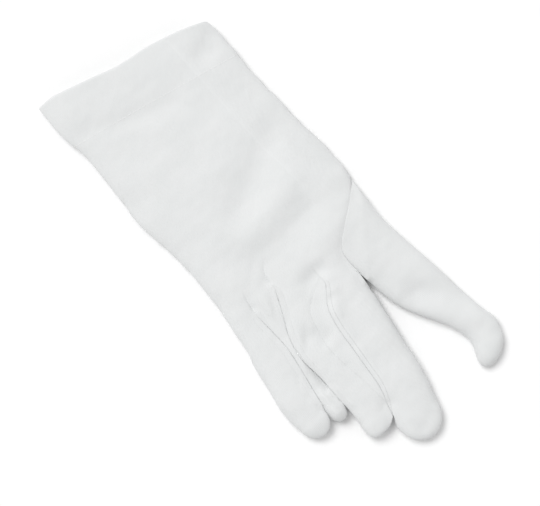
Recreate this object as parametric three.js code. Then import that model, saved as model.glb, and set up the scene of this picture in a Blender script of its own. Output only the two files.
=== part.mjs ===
// A white cotton dress glove for the right hand, lying on a flat surface with its back up.
// Lengths are millimetres. The glove is drawn in plan: x runs across it towards the thumb, and a runs
// along it from the cuff to the fingertips. In the part's frame +X is the thumb's side, -Y is where the
// fingertips point, and +Z is up.
import * as THREE from "three";
import { mergeVertices } from "three/addons/utils/BufferGeometryUtils.js";

// Driving sizes
const CLOTH = 1.0; // thickness of the knitted cotton
const SEAM_GAP = 0.3; // clearance between two sewn pieces
const HEM_STEPS = 2.4; // depth of the hem turned in at the cuff, in steps along the hand
const ORIGIN = { x: 14.6, a: 120.16 }; // the middle of the glove's outline in plan
const FLOOR_REACH = 9; // how far in from its edge the palm first touches the floor
const FOLD_FULL_HEIGHT = 5; // height over the side seam at which a fold has its whole depth
const CROTCH_CLOTH = 1.2; // how much sooner the hollow ends between two fingers, in cloth thicknesses
const SIDE_REACH = 3; // the least that a finger's underside is rounded at its side
const SIDE_SLOPE = 1.5; // how far in a raised side meets the floor, for each mm of its height
const SHORTEST_TIP = 0.1; // keeps the inner face of a fingertip from turning over
const JOIN_DISTANCE = 1e-3; // corners nearer than this are one corner

// Mesh fineness. A station counts steps along a finger from the knuckles, and is below 0 in the hand.
const COLUMNS = 6; // across each finger, and across its share of the hand
const HAND_STEPS = 15; // along the hand
const FINGER_STEPS = 7; // along a finger's straight part
const TIP_STEPS = 4; // round a fingertip
const LIMB_START = 0.15; // how far inside its ends, in stations, a fourchette's cloth starts
const LIMB_COLUMNS = 3; // across each limb of a fourchette, above its edge and below it
const HEEL = -0.5; // the station where the point of a fourchette starts, in the hand
const MOUTH = -6; // the station where the thumb's seam starts, at the side of the hand
const QUARTER_CIRCLE = 2; // the power of a shoulder that is as round as a circle

// The hand from the cuff to the knuckles. Each row gives the little finger's side (left) and the
// thumb's side (right), the height of the side seam, the height of the back of the hand, and how far
// in from the sides the back reaches that height. From the seventh row on, the thumb's side is the
// seam that sets the thumb in.
const HAND_ROWS = [
  { xl: -48.4, al: -8.6, xr: 49.3, ar: 6.8, edge: 4.6, top: 10.4, reach: 26 },
  { xl: -47.2, al: 10, xr: 51.5, ar: 22, edge: 4.6, top: 10.4, reach: 26 },
  { xl: -43.4, al: 28, xr: 52.2, ar: 40, edge: 4.4, top: 10.2, reach: 26 },
  { xl: -42.6, al: 50, xr: 54.8, ar: 60, edge: 4.2, top: 10.8, reach: 28 },
  { xl: -42.0, al: 72, xr: 57.2, ar: 80, edge: 4.0, top: 11.4, reach: 28 },
  { xl: -37.6, al: 94, xr: 60.3, ar: 99, edge: 4.0, top: 11.6, reach: 26 },
  { xl: -35.8, al: 110, xr: 60.4, ar: 117, edge: 4.2, top: 11.4, reach: 22 },
  { xl: -35.3, al: 120, xr: 53.1, ar: 125.6, edge: 4.4, top: 11.3, reach: 18 },
  { xl: -35.2, al: 129, xr: 43.5, ar: 134.2, edge: 4.5, top: 11.2, reach: 15 },
  { xl: -35.5, al: 138, xr: 34.4, ar: 144.5, edge: 4.6, top: 11.0, reach: 13 },
  { xl: -36.0, al: 146, xr: 34.8, ar: 160, edge: 4.8, top: 11.0, reach: 12 },
];
// The upper and lower edge of the thumb's opening, by the row of the hand. Elsewhere both are the seam.
const THUMB_OPENING = {
  7: { upper: 9.2, lower: 0 },
  8: { upper: 10.2, lower: 0 },
  9: { upper: 9.8, lower: 0 },
};
const KNUCKLE_ZONE = 0.22; // last share of the hand, over which the fingers part
const KNUCKLE_POWER = 1.8; // how late in that zone they part

// The digits. Each row gives the left and right edge, with the height of the seam there, and the height
// of the crown. The ring finger lies low, under the edges of the little and middle fingers.
// topPower and underPower say how round the top and the two sides of the underside are.
const LITTLE = {
  rows: [
    { xl: -36.0, al: 146, zl: 4.8, xr: -21.0, ar: 146, zr: 7.4, top: 10.6 },
    { xl: -36.6, al: 157, zl: 4.8, xr: -19.6, ar: 157, zr: 7.8, top: 10.8 },
    { xl: -38.4, al: 167, zl: 4.8, xr: -18.6, ar: 167, zr: 8.2, top: 11.2 },
    { xl: -39.4, al: 180, zl: 4.8, xr: -19.2, ar: 180, zr: 8.4, top: 11.6 },
    { xl: -40.7, al: 192, zl: 4.8, xr: -20.6, ar: 192, zr: 8.4, top: 11.6 },
    { xl: -39.8, al: 203, zl: 4.6, xr: -21.4, ar: 203, zr: 7.6, top: 11.0 },
    { xl: -38.8, al: 207, zl: 4.4, xr: -22.0, ar: 206, zr: 6.8, top: 10.4 },
  ],
  tip: { x: -29.6, a: 216 },
  topPower: 2,
  underPower: [2, 1.1],
};
const RING = {
  rows: [
    { xl: -21.0, al: 146, zl: 7.4, xr: -5.4, ar: 140, zr: 7.4, top: 10.2 },
    { xl: -22.8, al: 157, zl: 4.4, xr: -7.6, ar: 153, zr: 4.8, top: 9.0 },
    { xl: -23.8, al: 167, zl: 2.2, xr: -9.8, ar: 165, zr: 3.0, top: 8.2 },
    { xl: -24.2, al: 180, zl: 1.8, xr: -11.0, ar: 179, zr: 1.8, top: 8.0 },
    { xl: -24.6, al: 192, zl: 1.5, xr: -11.2, ar: 191, zr: 1.5, top: 7.9 },
    { xl: -24.8, al: 202, zl: 1.6, xr: -11.6, ar: 202, zr: 1.6, top: 7.8 },
    { xl: -24.2, al: 207, zl: 1.8, xr: -12.2, ar: 207, zr: 1.8, top: 7.0 },
  ],
  tip: { x: -18.2, a: 215 },
  topPower: 1.35,
  underPower: [2, 2],
};
const MIDDLE = {
  rows: [
    { xl: -5.4, al: 140, zl: 7.4, xr: 17.4, ar: 153, zr: 8.0, top: 11.0 },
    { xl: -9.6, al: 152, zl: 7.6, xr: 10.6, ar: 164, zr: 8.6, top: 11.4 },
    { xl: -14.2, al: 164, zl: 8.4, xr: 8.6, ar: 175, zr: 8.8, top: 11.8 },
    { xl: -15.8, al: 177, zl: 8.6, xr: 8.4, ar: 186, zr: 8.8, top: 12.2 },
    { xl: -13.8, al: 190, zl: 8.6, xr: 8.2, ar: 197, zr: 8.6, top: 12.2 },
    { xl: -12.6, al: 205, zl: 8.2, xr: 8.0, ar: 208, zr: 8.0, top: 11.8 },
    { xl: -11.6, al: 218, zl: 6.4, xr: 7.4, ar: 217, zr: 6.4, top: 11.2 },
    { xl: -12.0, al: 224, zl: 5.2, xr: 4.4, ar: 223, zr: 4.8, top: 10.6 },
  ],
  tip: { x: -5.4, a: 232.8 },
  topPower: 2,
  underPower: [1.1, 2],
};
const INDEX = {
  rows: [
    { xl: 17.4, al: 153, zl: 8.0, xr: 34.8, ar: 160, zr: 4.8, top: 10.8 },
    { xl: 11.1, al: 164, zl: 8.6, xr: 34.7, ar: 169, zr: 4.8, top: 11.4 },
    { xl: 9.2, al: 175, zl: 8.8, xr: 34.3, ar: 179, zr: 4.8, top: 11.8 },
    { xl: 8.9, al: 187, zl: 8.8, xr: 33.6, ar: 190, zr: 4.8, top: 12.0 },
    { xl: 8.7, al: 200, zl: 8.6, xr: 32.5, ar: 202, zr: 4.8, top: 11.8 },
    { xl: 8.4, al: 212, zl: 8.0, xr: 31.9, ar: 214, zr: 4.8, top: 11.6 },
    { xl: 6.4, al: 223, zl: 6.6, xr: 30.3, ar: 225, zr: 4.6, top: 11.4 },
    { xl: 3.2, al: 234, zl: 4.8, xr: 27.7, ar: 236, zr: 4.4, top: 10.8 },
  ],
  tip: { x: 14.6, a: 249.8 },
  topPower: 2,
  underPower: [2, 2],
};
const THUMB = {
  rows: [
    { xl: 35.8, al: 165, zl: 4.6, xr: 60.8, ar: 128, zr: 4.4, top: 10.6 },
    { xl: 37.2, al: 172, zl: 4.6, xr: 61.2, ar: 143, zr: 4.4, top: 10.8 },
    { xl: 39.2, al: 180, zl: 4.6, xr: 64.4, ar: 160, zr: 4.4, top: 11.0 },
    { xl: 42.4, al: 188, zl: 4.6, xr: 68.5, ar: 179, zr: 4.4, top: 11.4 },
    { xl: 48.6, al: 198, zl: 4.4, xr: 71.6, ar: 196, zr: 4.4, top: 11.4 },
    { xl: 56.2, al: 209.8, zl: 4.4, xr: 74.8, ar: 210.5, zr: 4.2, top: 10.6 },
    { xl: 59.9, al: 221, zl: 4.2, xr: 77.6, ar: 220, zr: 4.2, top: 10.0 },
    { xl: 57.4, al: 231, zl: 4.0, xr: 75.8, ar: 228.5, zr: 4.0, top: 9.4 },
  ],
  tip: { x: 63.4, a: 238.2 },
  topPower: 2,
  underPower: [2, 2],
};
const FINGERS = [LITTLE, RING, MIDDLE, INDEX];
const LAST = FINGERS.length - 1;

// The strips between the fingers. Each row gives how far the panels' edges lie from the slit at a
// station: on the back (top) and underside of the finger left of the slit, and of the one right of it.
const FOURCHETTES = {
  fourchette_ring_little: {
    left: 0,
    rows: [
      { station: -0.5, leftTop: 0, leftUnder: 0, rightTop: 0, rightUnder: 0 },
      { station: 0, leftTop: 3.2, leftUnder: 3.2, rightTop: 3.2, rightUnder: 3.2 },
      { station: 3, leftTop: 3.4, leftUnder: 6.0, rightTop: 4.4, rightUnder: 3.2 },
      { station: 6, leftTop: 2.4, leftUnder: 2.8, rightTop: 2.6, rightUnder: 2.4 },
      { station: 7, leftTop: 0, leftUnder: 0, rightTop: 0, rightUnder: 0 },
    ],
  },
  fourchette_middle_ring: {
    left: 1,
    rows: [
      { station: -0.5, leftTop: 0, leftUnder: 0, rightTop: 0, rightUnder: 0 },
      { station: 0, leftTop: 3.2, leftUnder: 3.2, rightTop: 3.2, rightUnder: 3.2 },
      { station: 3, leftTop: 4.4, leftUnder: 3.2, rightTop: 3.4, rightUnder: 5.0 },
      { station: 6, leftTop: 2.6, leftUnder: 2.4, rightTop: 2.4, rightUnder: 2.8 },
      { station: 7, leftTop: 0, leftUnder: 0, rightTop: 0, rightUnder: 0 },
    ],
  },
  fourchette_index_middle: {
    left: 2,
    rows: [
      { station: -0.5, leftTop: 0, leftUnder: 0, rightTop: 0, rightUnder: 0 },
      { station: 0, leftTop: 5.0, leftUnder: 3.2, rightTop: 2.4, rightUnder: 3.2 },
      { station: 1, leftTop: 9.6, leftUnder: 5.4, rightTop: 2.4, rightUnder: 5.4 },
      { station: 3, leftTop: 10.4, leftUnder: 6.4, rightTop: 2.6, rightUnder: 6.4 },
      { station: 5, leftTop: 4.2, leftUnder: 5.4, rightTop: 2.4, rightUnder: 5.4 },
      { station: 6, leftTop: 2.2, leftUnder: 2.2, rightTop: 2.0, rightUnder: 2.2 },
      { station: 7, leftTop: 0, leftUnder: 0, rightTop: 0, rightUnder: 0 },
    ],
  },
};

// The colour and roughness of each piece, all of white cotton knit.
const FINISHES = {
  back_panel: { color: 0xe8e9ea, roughness: 0.92 },
  palm_panel: { color: 0xe2e3e4, roughness: 0.92 },
  thumb: { color: 0xe9e9ec, roughness: 0.92 },
  cuff_hem: { color: 0xdfe1e2, roughness: 0.94 },
  fourchette_ring_little: { color: 0xe6e6ea, roughness: 0.92 },
  fourchette_middle_ring: { color: 0xe6e6ea, roughness: 0.92 },
  fourchette_index_middle: { color: 0xe6e6ea, roughness: 0.92 },
};

// The edge of the cuff, which waves a little.
const CUFF_EDGE = [
  { x: -48.4, a: -8.6 },
  { x: -40, a: -9.7 },
  { x: -23, a: -6.2 },
  { x: -1, a: -1.4 },
  { x: 17, a: -0.8 },
  { x: 35, a: 2.6 },
  { x: 49.3, a: 6.8 },
];
const CUFF_WAVE_SHARE = 0.16; // share of the hand's length over which the wave dies out

// Soft folds in the back of the hand, each along a straight stretch: a ridge has a positive height.
const FOLDS = [
  { name: "hem line", x1: -44, a1: 19, x2: 4, a2: 27, width: 7, height: -0.7 },
  { name: "hem line end", x1: 4, a1: 27, x2: 50, a2: 33, width: 6, height: -0.35 },
  { name: "cuff corner dent", x1: 45, a1: 13, x2: 35, a2: 20, width: 6, height: -0.8 },
  { name: "wrist valley outer", x1: 54, a1: 70, x2: 32, a2: 72, width: 8, height: -1.0 },
  { name: "wrist valley inner", x1: 32, a1: 72, x2: 4, a2: 91, width: 9, height: -1.1 },
  { name: "back ridge", x1: 37, a1: 101, x2: -8, a2: 109, width: 8, height: 0.8 },
  { name: "back valley", x1: 46, a1: 111, x2: -4, a2: 128, width: 8, height: -0.9 },
  { name: "thumb ridge", x1: 52, a1: 122, x2: 22, a2: 134, width: 8, height: 0.9 },
  { name: "side crease", x1: 49, a1: 80, x2: 57, a2: 110, width: 4.5, height: -0.8 },
  { name: "thumb crease", x1: 50, a1: 181, x2: 68, a2: 193, width: 7, height: -0.8 },
];

const lerp = THREE.MathUtils.lerp;
const clamp01 = (value) => THREE.MathUtils.clamp(value, 0, 1);

// A rounded shoulder that climbs from 0 at s = 0 to 1 at s = 1: a quarter circle at power 2, and a
// straight slope at power 1.
function shoulder(s, power) {
  return Math.pow(1 - Math.pow(1 - clamp01(s), power), 1 / power);
}

// The height that the folds add at a point of the plan.
function foldHeight(x, a) {
  let sum = 0;
  for (const fold of FOLDS) {
    const dx = fold.x2 - fold.x1;
    const da = fold.a2 - fold.a1;
    const along = clamp01(((x - fold.x1) * dx + (a - fold.a1) * da) / (dx * dx + da * da));
    const off = Math.hypot(x - fold.x1 - along * dx, a - fold.a1 - along * da) / fold.width;
    sum += fold.height * Math.exp(-off * off);
  }
  return sum;
}

// A smooth curve through three columns of a table, read at a share of the way down its rows.
function track(rows, ...columns) {
  const curve = new THREE.CatmullRomCurve3(
    rows.map((row) => new THREE.Vector3(...columns.map((column) => row[column]))),
  );
  return (share) => curve.getPoint(clamp01(share));
}

// How far the cuff's edge lies from the straight line between its corners.
function cuffWave(x) {
  const first = CUFF_EDGE[0];
  const last = CUFF_EDGE[CUFF_EDGE.length - 1];
  const at = Math.max(1, CUFF_EDGE.findIndex((p) => p.x >= x));
  const [p, q] = [CUFF_EDGE[at - 1], CUFF_EDGE[at]];
  const edge = lerp(p.a, q.a, clamp01((x - p.x) / (q.x - p.x)));
  return edge - lerp(first.a, last.a, clamp01((x - first.x) / (last.x - first.x)));
}

const mouthRows = HAND_ROWS.map(({ edge }, row) => {
  const { upper = edge, lower = edge } = THUMB_OPENING[row] ?? {};
  return { upper, lower, edge };
});
const HAND = {
  left: track(HAND_ROWS, "xl", "al", "edge"),
  right: track(HAND_ROWS, "xr", "ar", "edge"),
  crown: track(HAND_ROWS, "top", "reach", "reach"),
  mouth: track(mouthRows, "upper", "lower", "edge"),
};
for (const digit of [...FINGERS, THUMB]) {
  digit.left = track(digit.rows, "xl", "al", "zl");
  digit.right = track(digit.rows, "xr", "ar", "zr");
  digit.crown = track(digit.rows, "top", "top", "top");
}

// The heights of a cross-section's top and underside at distances [left, right] from its two sides.
function profile(section, distance, inset) {
  const crown = section.top - inset;
  let over = crown;
  let under = inset;
  for (const k of [0, 1]) {
    const rise = shoulder(distance[k] / section.reach[k], section.topPower);
    const drop = shoulder(distance[k] / section.underReach[k], section.underPower[k]);
    over -= (crown - section.seamTop[k]) * (1 - rise);
    under += (section.seamUnder[k] - inset) * (1 - drop);
  }
  return { over, under };
}

// How far in from a digit's side its underside meets the floor: further for a raised side.
const underReachOf = (seam, half) => Math.min(half, Math.max(SIDE_REACH, SIDE_SLOPE * seam));

// A point of a digit. u runs from -1 at its left side to 1 at its right, and the stations past
// FINGER_STEPS go round the tip. Up to the first station a side with a slit keeps its place, whatever
// the inset, because two fingers meet there. back draws the point back towards the hand.
function digitPoint(digit, u, station, inset, slits = [false, false], back = 0) {
  const share = Math.min(1, station / FINGER_STEPS);
  const turn = Math.max(0, (station - FINGER_STEPS) / TIP_STEPS) * (Math.PI / 2);
  const left = digit.left(share);
  const right = digit.right(share);
  const across = new THREE.Vector2(right.x - left.x, right.y - left.y);
  const width = across.length();
  across.normalize();
  const [insetLeft, insetRight] = slits.map((slit) => (slit ? inset * clamp01(station) : inset));
  const middle = new THREE.Vector2(left.x, left.y);
  middle.addScaledVector(across, (width + insetLeft - insetRight) / 2);
  const half = (width - insetLeft - insetRight) / 2;
  const round = Math.cos(turn);
  const toTip = new THREE.Vector2(digit.tip.x, digit.tip.a).sub(middle);
  const tipReach = Math.max(SHORTEST_TIP, toTip.length() - inset);
  const point = middle.clone();
  point.addScaledVector(across, u * half * round);
  point.addScaledVector(toTip.normalize(), tipReach * Math.sin(turn));
  const section = {
    seamTop: [left.z, right.z],
    seamUnder: [left.z, right.z],
    top: digit.crown(share).x,
    reach: [half, half],
    topPower: digit.topPower,
    underPower: digit.underPower,
    underReach: [underReachOf(left.z, half), underReachOf(right.z, half)],
  };
  const { over, under } = profile(section, [half * (1 + u), half * (1 - u)], inset);
  const middleEdge = (left.z + right.z) / 2;
  const edge = lerp(middleEdge, lerp(left.z, right.z, (1 + u) / 2), round);
  return {
    x: point.x,
    a: point.y - back,
    over: lerp(edge, over, round),
    under: lerp(edge, under, round),
    edge,
  };
}

// The start of a finger, where it leaves the hand. The hollow of the hand ends a little sooner than
// its outside does, by the cloth between two fingers.
function fingerBase(finger, u, inset) {
  const slits = [finger > 0, finger < LAST];
  return digitPoint(FINGERS[finger], u, 0, inset, slits, CROTCH_CLOTH * inset);
}

// A point of the hand, in the share of its width that leads to one finger.
function handPoint(finger, u, station, inset) {
  const share = 1 + station / HAND_STEPS;
  const base = fingerBase(finger, u, inset);
  if (share >= 1) return base;
  const left = HAND.left(share);
  const right = HAND.right(share);
  const crown = HAND.crown(share);
  const mouth = HAND.mouth(share);
  const first = fingerBase(0, -1, inset);
  const last = fingerBase(LAST, 1, inset);
  const c = (base.x - first.x) / (last.x - first.x);
  const width = Math.hypot(right.x - left.x, right.y - left.y);
  const way = lerp(inset / width, 1 - inset / width, c);
  const section = {
    seamTop: [left.z, Math.max(right.z, mouth.x - inset)],
    seamUnder: [left.z, Math.min(right.z, Math.max(0, mouth.y) + inset)],
    top: crown.x,
    reach: [crown.y, crown.y],
    topPower: QUARTER_CIRCLE,
    underPower: [QUARTER_CIRCLE, QUARTER_CIRCLE],
    underReach: [FLOOR_REACH, FLOOR_REACH],
  };
  const room = width - 2 * inset;
  const { over, under } = profile(section, [c * room, (1 - c) * room], inset);
  const part = Math.pow(clamp01((share - 1 + KNUCKLE_ZONE) / KNUCKLE_ZONE), KNUCKLE_POWER);
  const bend = share * share;
  const x = lerp(left.x, right.x, way);
  const wave = cuffWave(x) * Math.pow(1 - clamp01(share / CUFF_WAVE_SHARE), 2);
  return {
    x: x + bend * (base.x - lerp(first.x, last.x, c)),
    a: lerp(left.y, right.y, way) + wave + bend * (base.a - lerp(first.a, last.a, c)),
    over: lerp(over, base.over, part),
    under: lerp(under, base.under, part),
    edge: lerp(lerp(left.z, right.z, c), base.edge, part),
  };
}

// A point of a finger, or of the hand where it leads to that finger.
function fingerPoint(finger, u, station, inset) {
  if (station <= 0) return handPoint(finger, u, station, inset);
  return digitPoint(FINGERS[finger], u, station, inset, [finger > 0, finger < LAST]);
}

// A point of the thumb. Its station 0 is the seam along the side of the hand.
function thumbPoint(seamStation, station, inset) {
  const seam = handPoint(LAST, 1, seamStation, inset);
  const u = (2 * seamStation) / MOUTH - 1;
  if (station > 0) return digitPoint(THUMB, u, station - 1, inset);
  const next = digitPoint(THUMB, u, 0, inset);
  const away = SEAM_GAP / Math.hypot(next.x - seam.x, next.a - seam.a);
  return { ...seam, x: lerp(seam.x, next.x, away), a: lerp(seam.a, next.a, away) };
}

// Presses the folds into a point's top, less towards the outline.
function folded(p) {
  const share = clamp01((p.over - p.edge) / FOLD_FULL_HEIGHT);
  return { ...p, over: p.over + foldHeight(p.x, p.a) * share };
}

// The upper and lower face of the cloth at a place on the glove's back. place gives a point for an
// inset, and gap keeps the cloth clear of the side seam.
function backCloth(place, gap = 0, insets = [0, CLOTH]) {
  const [outer, inner] = insets.map((inset) => folded(place(inset)));
  const corner = (p) => [p.x, p.a, Math.max(p.over, p.edge + gap / 2)];
  return { upper: corner(outer), lower: corner(inner) };
}

// The same on the glove's underside, where the outer face is the lower one.
function palmCloth(place, gap = 0, insets = [0, CLOTH]) {
  const [outer, inner] = insets.map(place);
  const corner = (p) => [p.x, p.a, Math.min(p.under, p.edge - gap / 2)];
  return { upper: corner(inner), lower: corner(outer) };
}

// Triangles of a strip of cloth. A strip is a list of rows, and a row lists cloth from left to right.
// A side has a wall from the row wallLeft or wallRight on, and joins other cloth before it.
function stripTriangles(strip, wallLeft = 0, wallRight = 0) {
  const out = [];
  const quad = (p, q, r, s) => out.push(p, q, r, p, r, s);
  const rows = strip.length - 1;
  const columns = strip[0].length - 1;
  for (let j = 0; j < rows; j++) {
    for (let i = 0; i < columns; i++) {
      const [p, q, r, s] = [strip[j][i], strip[j][i + 1], strip[j + 1][i + 1], strip[j + 1][i]];
      quad(p.upper, s.upper, r.upper, q.upper);
      quad(p.lower, q.lower, r.lower, s.lower);
    }
    const [l0, l1, r0, r1] = [strip[j][0], strip[j + 1][0], strip[j][columns], strip[j + 1][columns]];
    if (j >= wallLeft) quad(l0.upper, l0.lower, l1.lower, l1.upper);
    if (j >= wallRight) quad(r0.upper, r1.upper, r1.lower, r0.lower);
  }
  for (let i = 0; i < columns; i++) {
    const [p, q, r, s] = [strip[0][i], strip[0][i + 1], strip[rows][i], strip[rows][i + 1]];
    quad(p.upper, q.upper, q.lower, p.lower);
    quad(s.upper, r.upper, r.lower, s.lower);
  }
  return out;
}
const NO_WALL = Infinity;

// Whole numbers from one to another.
const countFrom = (first, last) => [...Array(last - first + 1).keys()].map((k) => first + k);

// The stations of the mesh, with closer ones at the ends of the thumb's seam and at the knuckles.
const SEAM_STATIONS = [MOUTH, MOUTH + 0.5, ...countFrom(MOUTH + 1, -1), HEEL, 0];
const STATIONS = [
  ...countFrom(-HAND_STEPS, MOUTH - 1),
  ...SEAM_STATIONS.slice(0, -1),
  HEEL + LIMB_START,
  ...countFrom(0, FINGER_STEPS + TIP_STEPS),
];
const COLUMN_STOPS = countFrom(0, COLUMNS).map((i) => -Math.cos((Math.PI * i) / COLUMNS));

// The value of a table's column at a station, on straight lines between its rows.
function valueAt(rows, column, station) {
  const at = rows.findIndex((row) => row.station >= station);
  if (at <= 0) return at < 0 ? 0 : rows[0][column];
  const [p, q] = [rows[at - 1], rows[at]];
  return lerp(p[column], q[column], (station - p.station) / (q.station - p.station));
}

// The u of a place that lies a distance in from one side of a finger: side 1 is its right.
function uInFrom(finger, side, station, distance) {
  const slit = fingerPoint(finger, side, station, 0);
  const far = fingerPoint(finger, -side, station, 0);
  return side * (1 - (2 * distance) / Math.hypot(far.x - slit.x, far.a - slit.a));
}

// How far from its sides a panel starts and ends on a finger, beside the fourchettes. face is Top
// for the back and Under for the palm.
function panelSpan(finger, face, station) {
  const strips = Object.values(FOURCHETTES);
  const strip = (k) => (k >= 0 && k < strips.length ? strips[k] : null);
  const from = (side, fourchette, column) => {
    const distance = fourchette ? valueAt(fourchette.rows, column + face, station) : 0;
    return distance > 0 ? uInFrom(finger, side, station, distance) : side;
  };
  return [from(-1, strip(finger - 1), "right"), from(1, strip(finger), "left")];
}

// A panel of the hand with its four finger sides, as one piece.
function panel(face, cloth) {
  const slit = STATIONS.indexOf(HEEL);
  return countFrom(0, LAST).flatMap((finger) => {
    const strip = STATIONS.map((station) => {
      const [uLeft, uRight] = panelSpan(finger, face, station);
      return COLUMN_STOPS.map((stop) => {
        const u = lerp(uLeft, uRight, (1 + stop) / 2);
        return cloth((inset) => fingerPoint(finger, u, station, inset), SEAM_GAP);
      });
    });
    return stripTriangles(strip, finger > 0 ? slit : 0, finger < LAST ? slit : 0);
  });
}

// A fourchette: a limb on each side of the slit, over the edge of each finger.
function fourchette({ left, rows }) {
  const { station: last } = rows[rows.length - 1];
  const stations = [HEEL + LIMB_START, ...countFrom(0, last - 1), last - LIMB_START];
  const half = (finger, side, face, cloth) => {
    const column = (side > 0 ? "left" : "right") + face;
    const strip = stations.map((station) => {
      const width = valueAt(rows, column, station) - SEAM_GAP;
      const row = countFrom(0, LIMB_COLUMNS).map((i) => {
        const distance = width * (i / LIMB_COLUMNS) ** 2;
        const u = uInFrom(finger, side, station, distance);
        return cloth((inset) => fingerPoint(finger, u, station, inset));
      });
      return side > 0 ? row.reverse() : row;
    });
    return stripTriangles(strip, side > 0 ? 0 : NO_WALL, side > 0 ? NO_WALL : 0);
  };
  return [
    ...half(left, 1, "Top", backCloth),
    ...half(left, 1, "Under", palmCloth),
    ...half(left + 1, -1, "Top", backCloth),
    ...half(left + 1, -1, "Under", palmCloth),
  ];
}

// The thumb: a tube that starts at the seam along the hand. Its left side is at the index finger.
function thumb() {
  const seam = SEAM_STATIONS.toReversed();
  const half = (cloth) => {
    const strip = countFrom(0, 1 + FINGER_STEPS + TIP_STEPS).map((station) =>
      seam.map((seamStation) => cloth((inset) => thumbPoint(seamStation, station, inset))),
    );
    return stripTriangles(strip, NO_WALL, NO_WALL);
  };
  return [...half(backCloth), ...half(palmCloth)];
}

// The hem: a second layer inside the cuff, all the way round.
function hem() {
  const insets = [CLOTH + SEAM_GAP, 2 * CLOTH + SEAM_GAP];
  const stations = [...countFrom(0, Math.floor(HEM_STEPS)), HEM_STEPS].map((step) => step - HAND_STEPS);
  const half = (cloth) =>
    countFrom(0, LAST).flatMap((finger) => {
      const strip = stations.map((station) =>
        COLUMN_STOPS.map((u) => cloth((inset) => fingerPoint(finger, u, station, inset), 0, insets)),
      );
      return stripTriangles(strip, NO_WALL, NO_WALL);
    });
  return [...half(backCloth), ...half(palmCloth)];
}

// A named mesh from triangles given as corners in plan, with the corners that lie on each other joined.
function meshOf(name, corners) {
  const placed = corners.flatMap(([x, a, z]) => [x - ORIGIN.x, ORIGIN.a - a, z]);
  const loose = new THREE.BufferGeometry();
  loose.setAttribute("position", new THREE.BufferAttribute(new Float32Array(placed), 3));
  const geometry = mergeVertices(loose, JOIN_DISTANCE);
  const index = geometry.index.array;
  const kept = [];
  for (let k = 0; k < index.length; k += 3) {
    const [p, q, r] = index.slice(k, k + 3);
    if (p !== q && q !== r && r !== p) kept.push(p, q, r);
  }
  geometry.setIndex(kept);
  geometry.computeVertexNormals();
  const { color, roughness } = FINISHES[name];
  const mesh = new THREE.Mesh(geometry, new THREE.MeshStandardMaterial({ color, roughness, metalness: 0 }));
  mesh.name = name;
  return mesh;
}

const glove = new THREE.Group();
glove.add(
  meshOf("back_panel", panel("Top", backCloth)),
  meshOf("palm_panel", panel("Under", palmCloth)),
  meshOf("thumb", thumb()),
  meshOf("cuff_hem", hem()),
);
for (const [name, strip] of Object.entries(FOURCHETTES)) glove.add(meshOf(name, fourchette(strip)));

export default glove;
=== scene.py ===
"""The looks of a white cotton dress glove for the right hand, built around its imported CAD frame.

The glove lies on its palm, with the back of the hand up. Its cloth is drawn in plan, in millimetres: x runs
across the hand towards the thumb, and a runs along it from the cuff to the fingertips. In the row frame +X is
the thumb's side, -Y is where the fingertips point and +Z is up, in metres.
"""

import heapq
import logging
import math
from dataclasses import dataclass
from dataclasses import field
from enum import Enum

import bpy
import numpy as np
from mathutils import Matrix
from mathutils import Vector
from mathutils.bvhtree import BVHTree
from mathutils.kdtree import KDTree

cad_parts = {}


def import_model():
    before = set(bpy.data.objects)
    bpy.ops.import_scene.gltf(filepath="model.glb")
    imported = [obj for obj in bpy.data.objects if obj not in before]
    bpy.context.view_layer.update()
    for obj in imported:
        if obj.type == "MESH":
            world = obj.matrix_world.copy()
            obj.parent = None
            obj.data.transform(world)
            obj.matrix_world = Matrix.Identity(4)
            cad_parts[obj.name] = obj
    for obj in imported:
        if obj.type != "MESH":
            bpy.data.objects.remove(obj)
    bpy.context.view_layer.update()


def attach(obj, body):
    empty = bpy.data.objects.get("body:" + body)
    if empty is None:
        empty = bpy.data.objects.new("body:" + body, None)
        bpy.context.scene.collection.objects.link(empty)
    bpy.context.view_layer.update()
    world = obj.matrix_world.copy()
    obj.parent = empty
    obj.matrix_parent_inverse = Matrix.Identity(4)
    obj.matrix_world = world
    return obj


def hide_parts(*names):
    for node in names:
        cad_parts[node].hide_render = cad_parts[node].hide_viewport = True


LOG = logging.getLogger("cotton_glove")

MM = 0.001
PHOTO_WIDTH = 540
KNIT_UV = "knit"  # the map with each point's place in the flat cloth
TINY = 1e-12  # directions shorter than this, in metres, count as none

# The glove's form, in the same sizes as its solids
ORIGIN_X = 14.6  # the middle of the outline in plan
ORIGIN_A = 120.16
HAND_STEPS = 15  # a station counts steps from the knuckles: below 0 in the hand, above 0 on a finger
FINGER_STEPS = 7  # along a finger's straight part
TIP_STEPS = 4  # round a fingertip
MOUTH = -6.0  # the station where the thumb's seam starts
HEEL = -0.5  # the station where the point of a fourchette starts
FLOOR_REACH = 9.0  # how far in from its side the palm first touches the floor
SIDE_REACH = 3.0  # the least that a finger's underside is rounded at its side
SIDE_SLOPE = 1.5  # how far in a raised side meets the floor, for each mm of its height
KNUCKLE_ZONE = 0.22  # last share of the hand, over which the fingers part
KNUCKLE_POWER = 1.8  # how late in that zone they part
CUFF_WAVE_SHARE = 0.16  # share of the hand's length over which the cuff's wave dies out
CUFF_BLUR = 4.0  # how far to each side the corners of the cuff's edge are rounded
TOP_TURN = 0.75  # share of a finger's straight part past which its top turns as round as the tip
ONWARD_STEP = 0.05  # how far past the thumb's first section its direction is read, in stations
ROUNDING = 9  # how many places are averaged to round a corner
HEM_STEPS = 2.4  # depth of the turned hem, in steps along the hand
CLOTH = 1.0  # thickness of the knitted cotton
LAYER_GAP = 0.3  # between the panels and the layer turned in


class Face(Enum):
    """The side of the glove that a patch of cloth is on."""

    BACK = "back"
    PALM = "palm"


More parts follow.
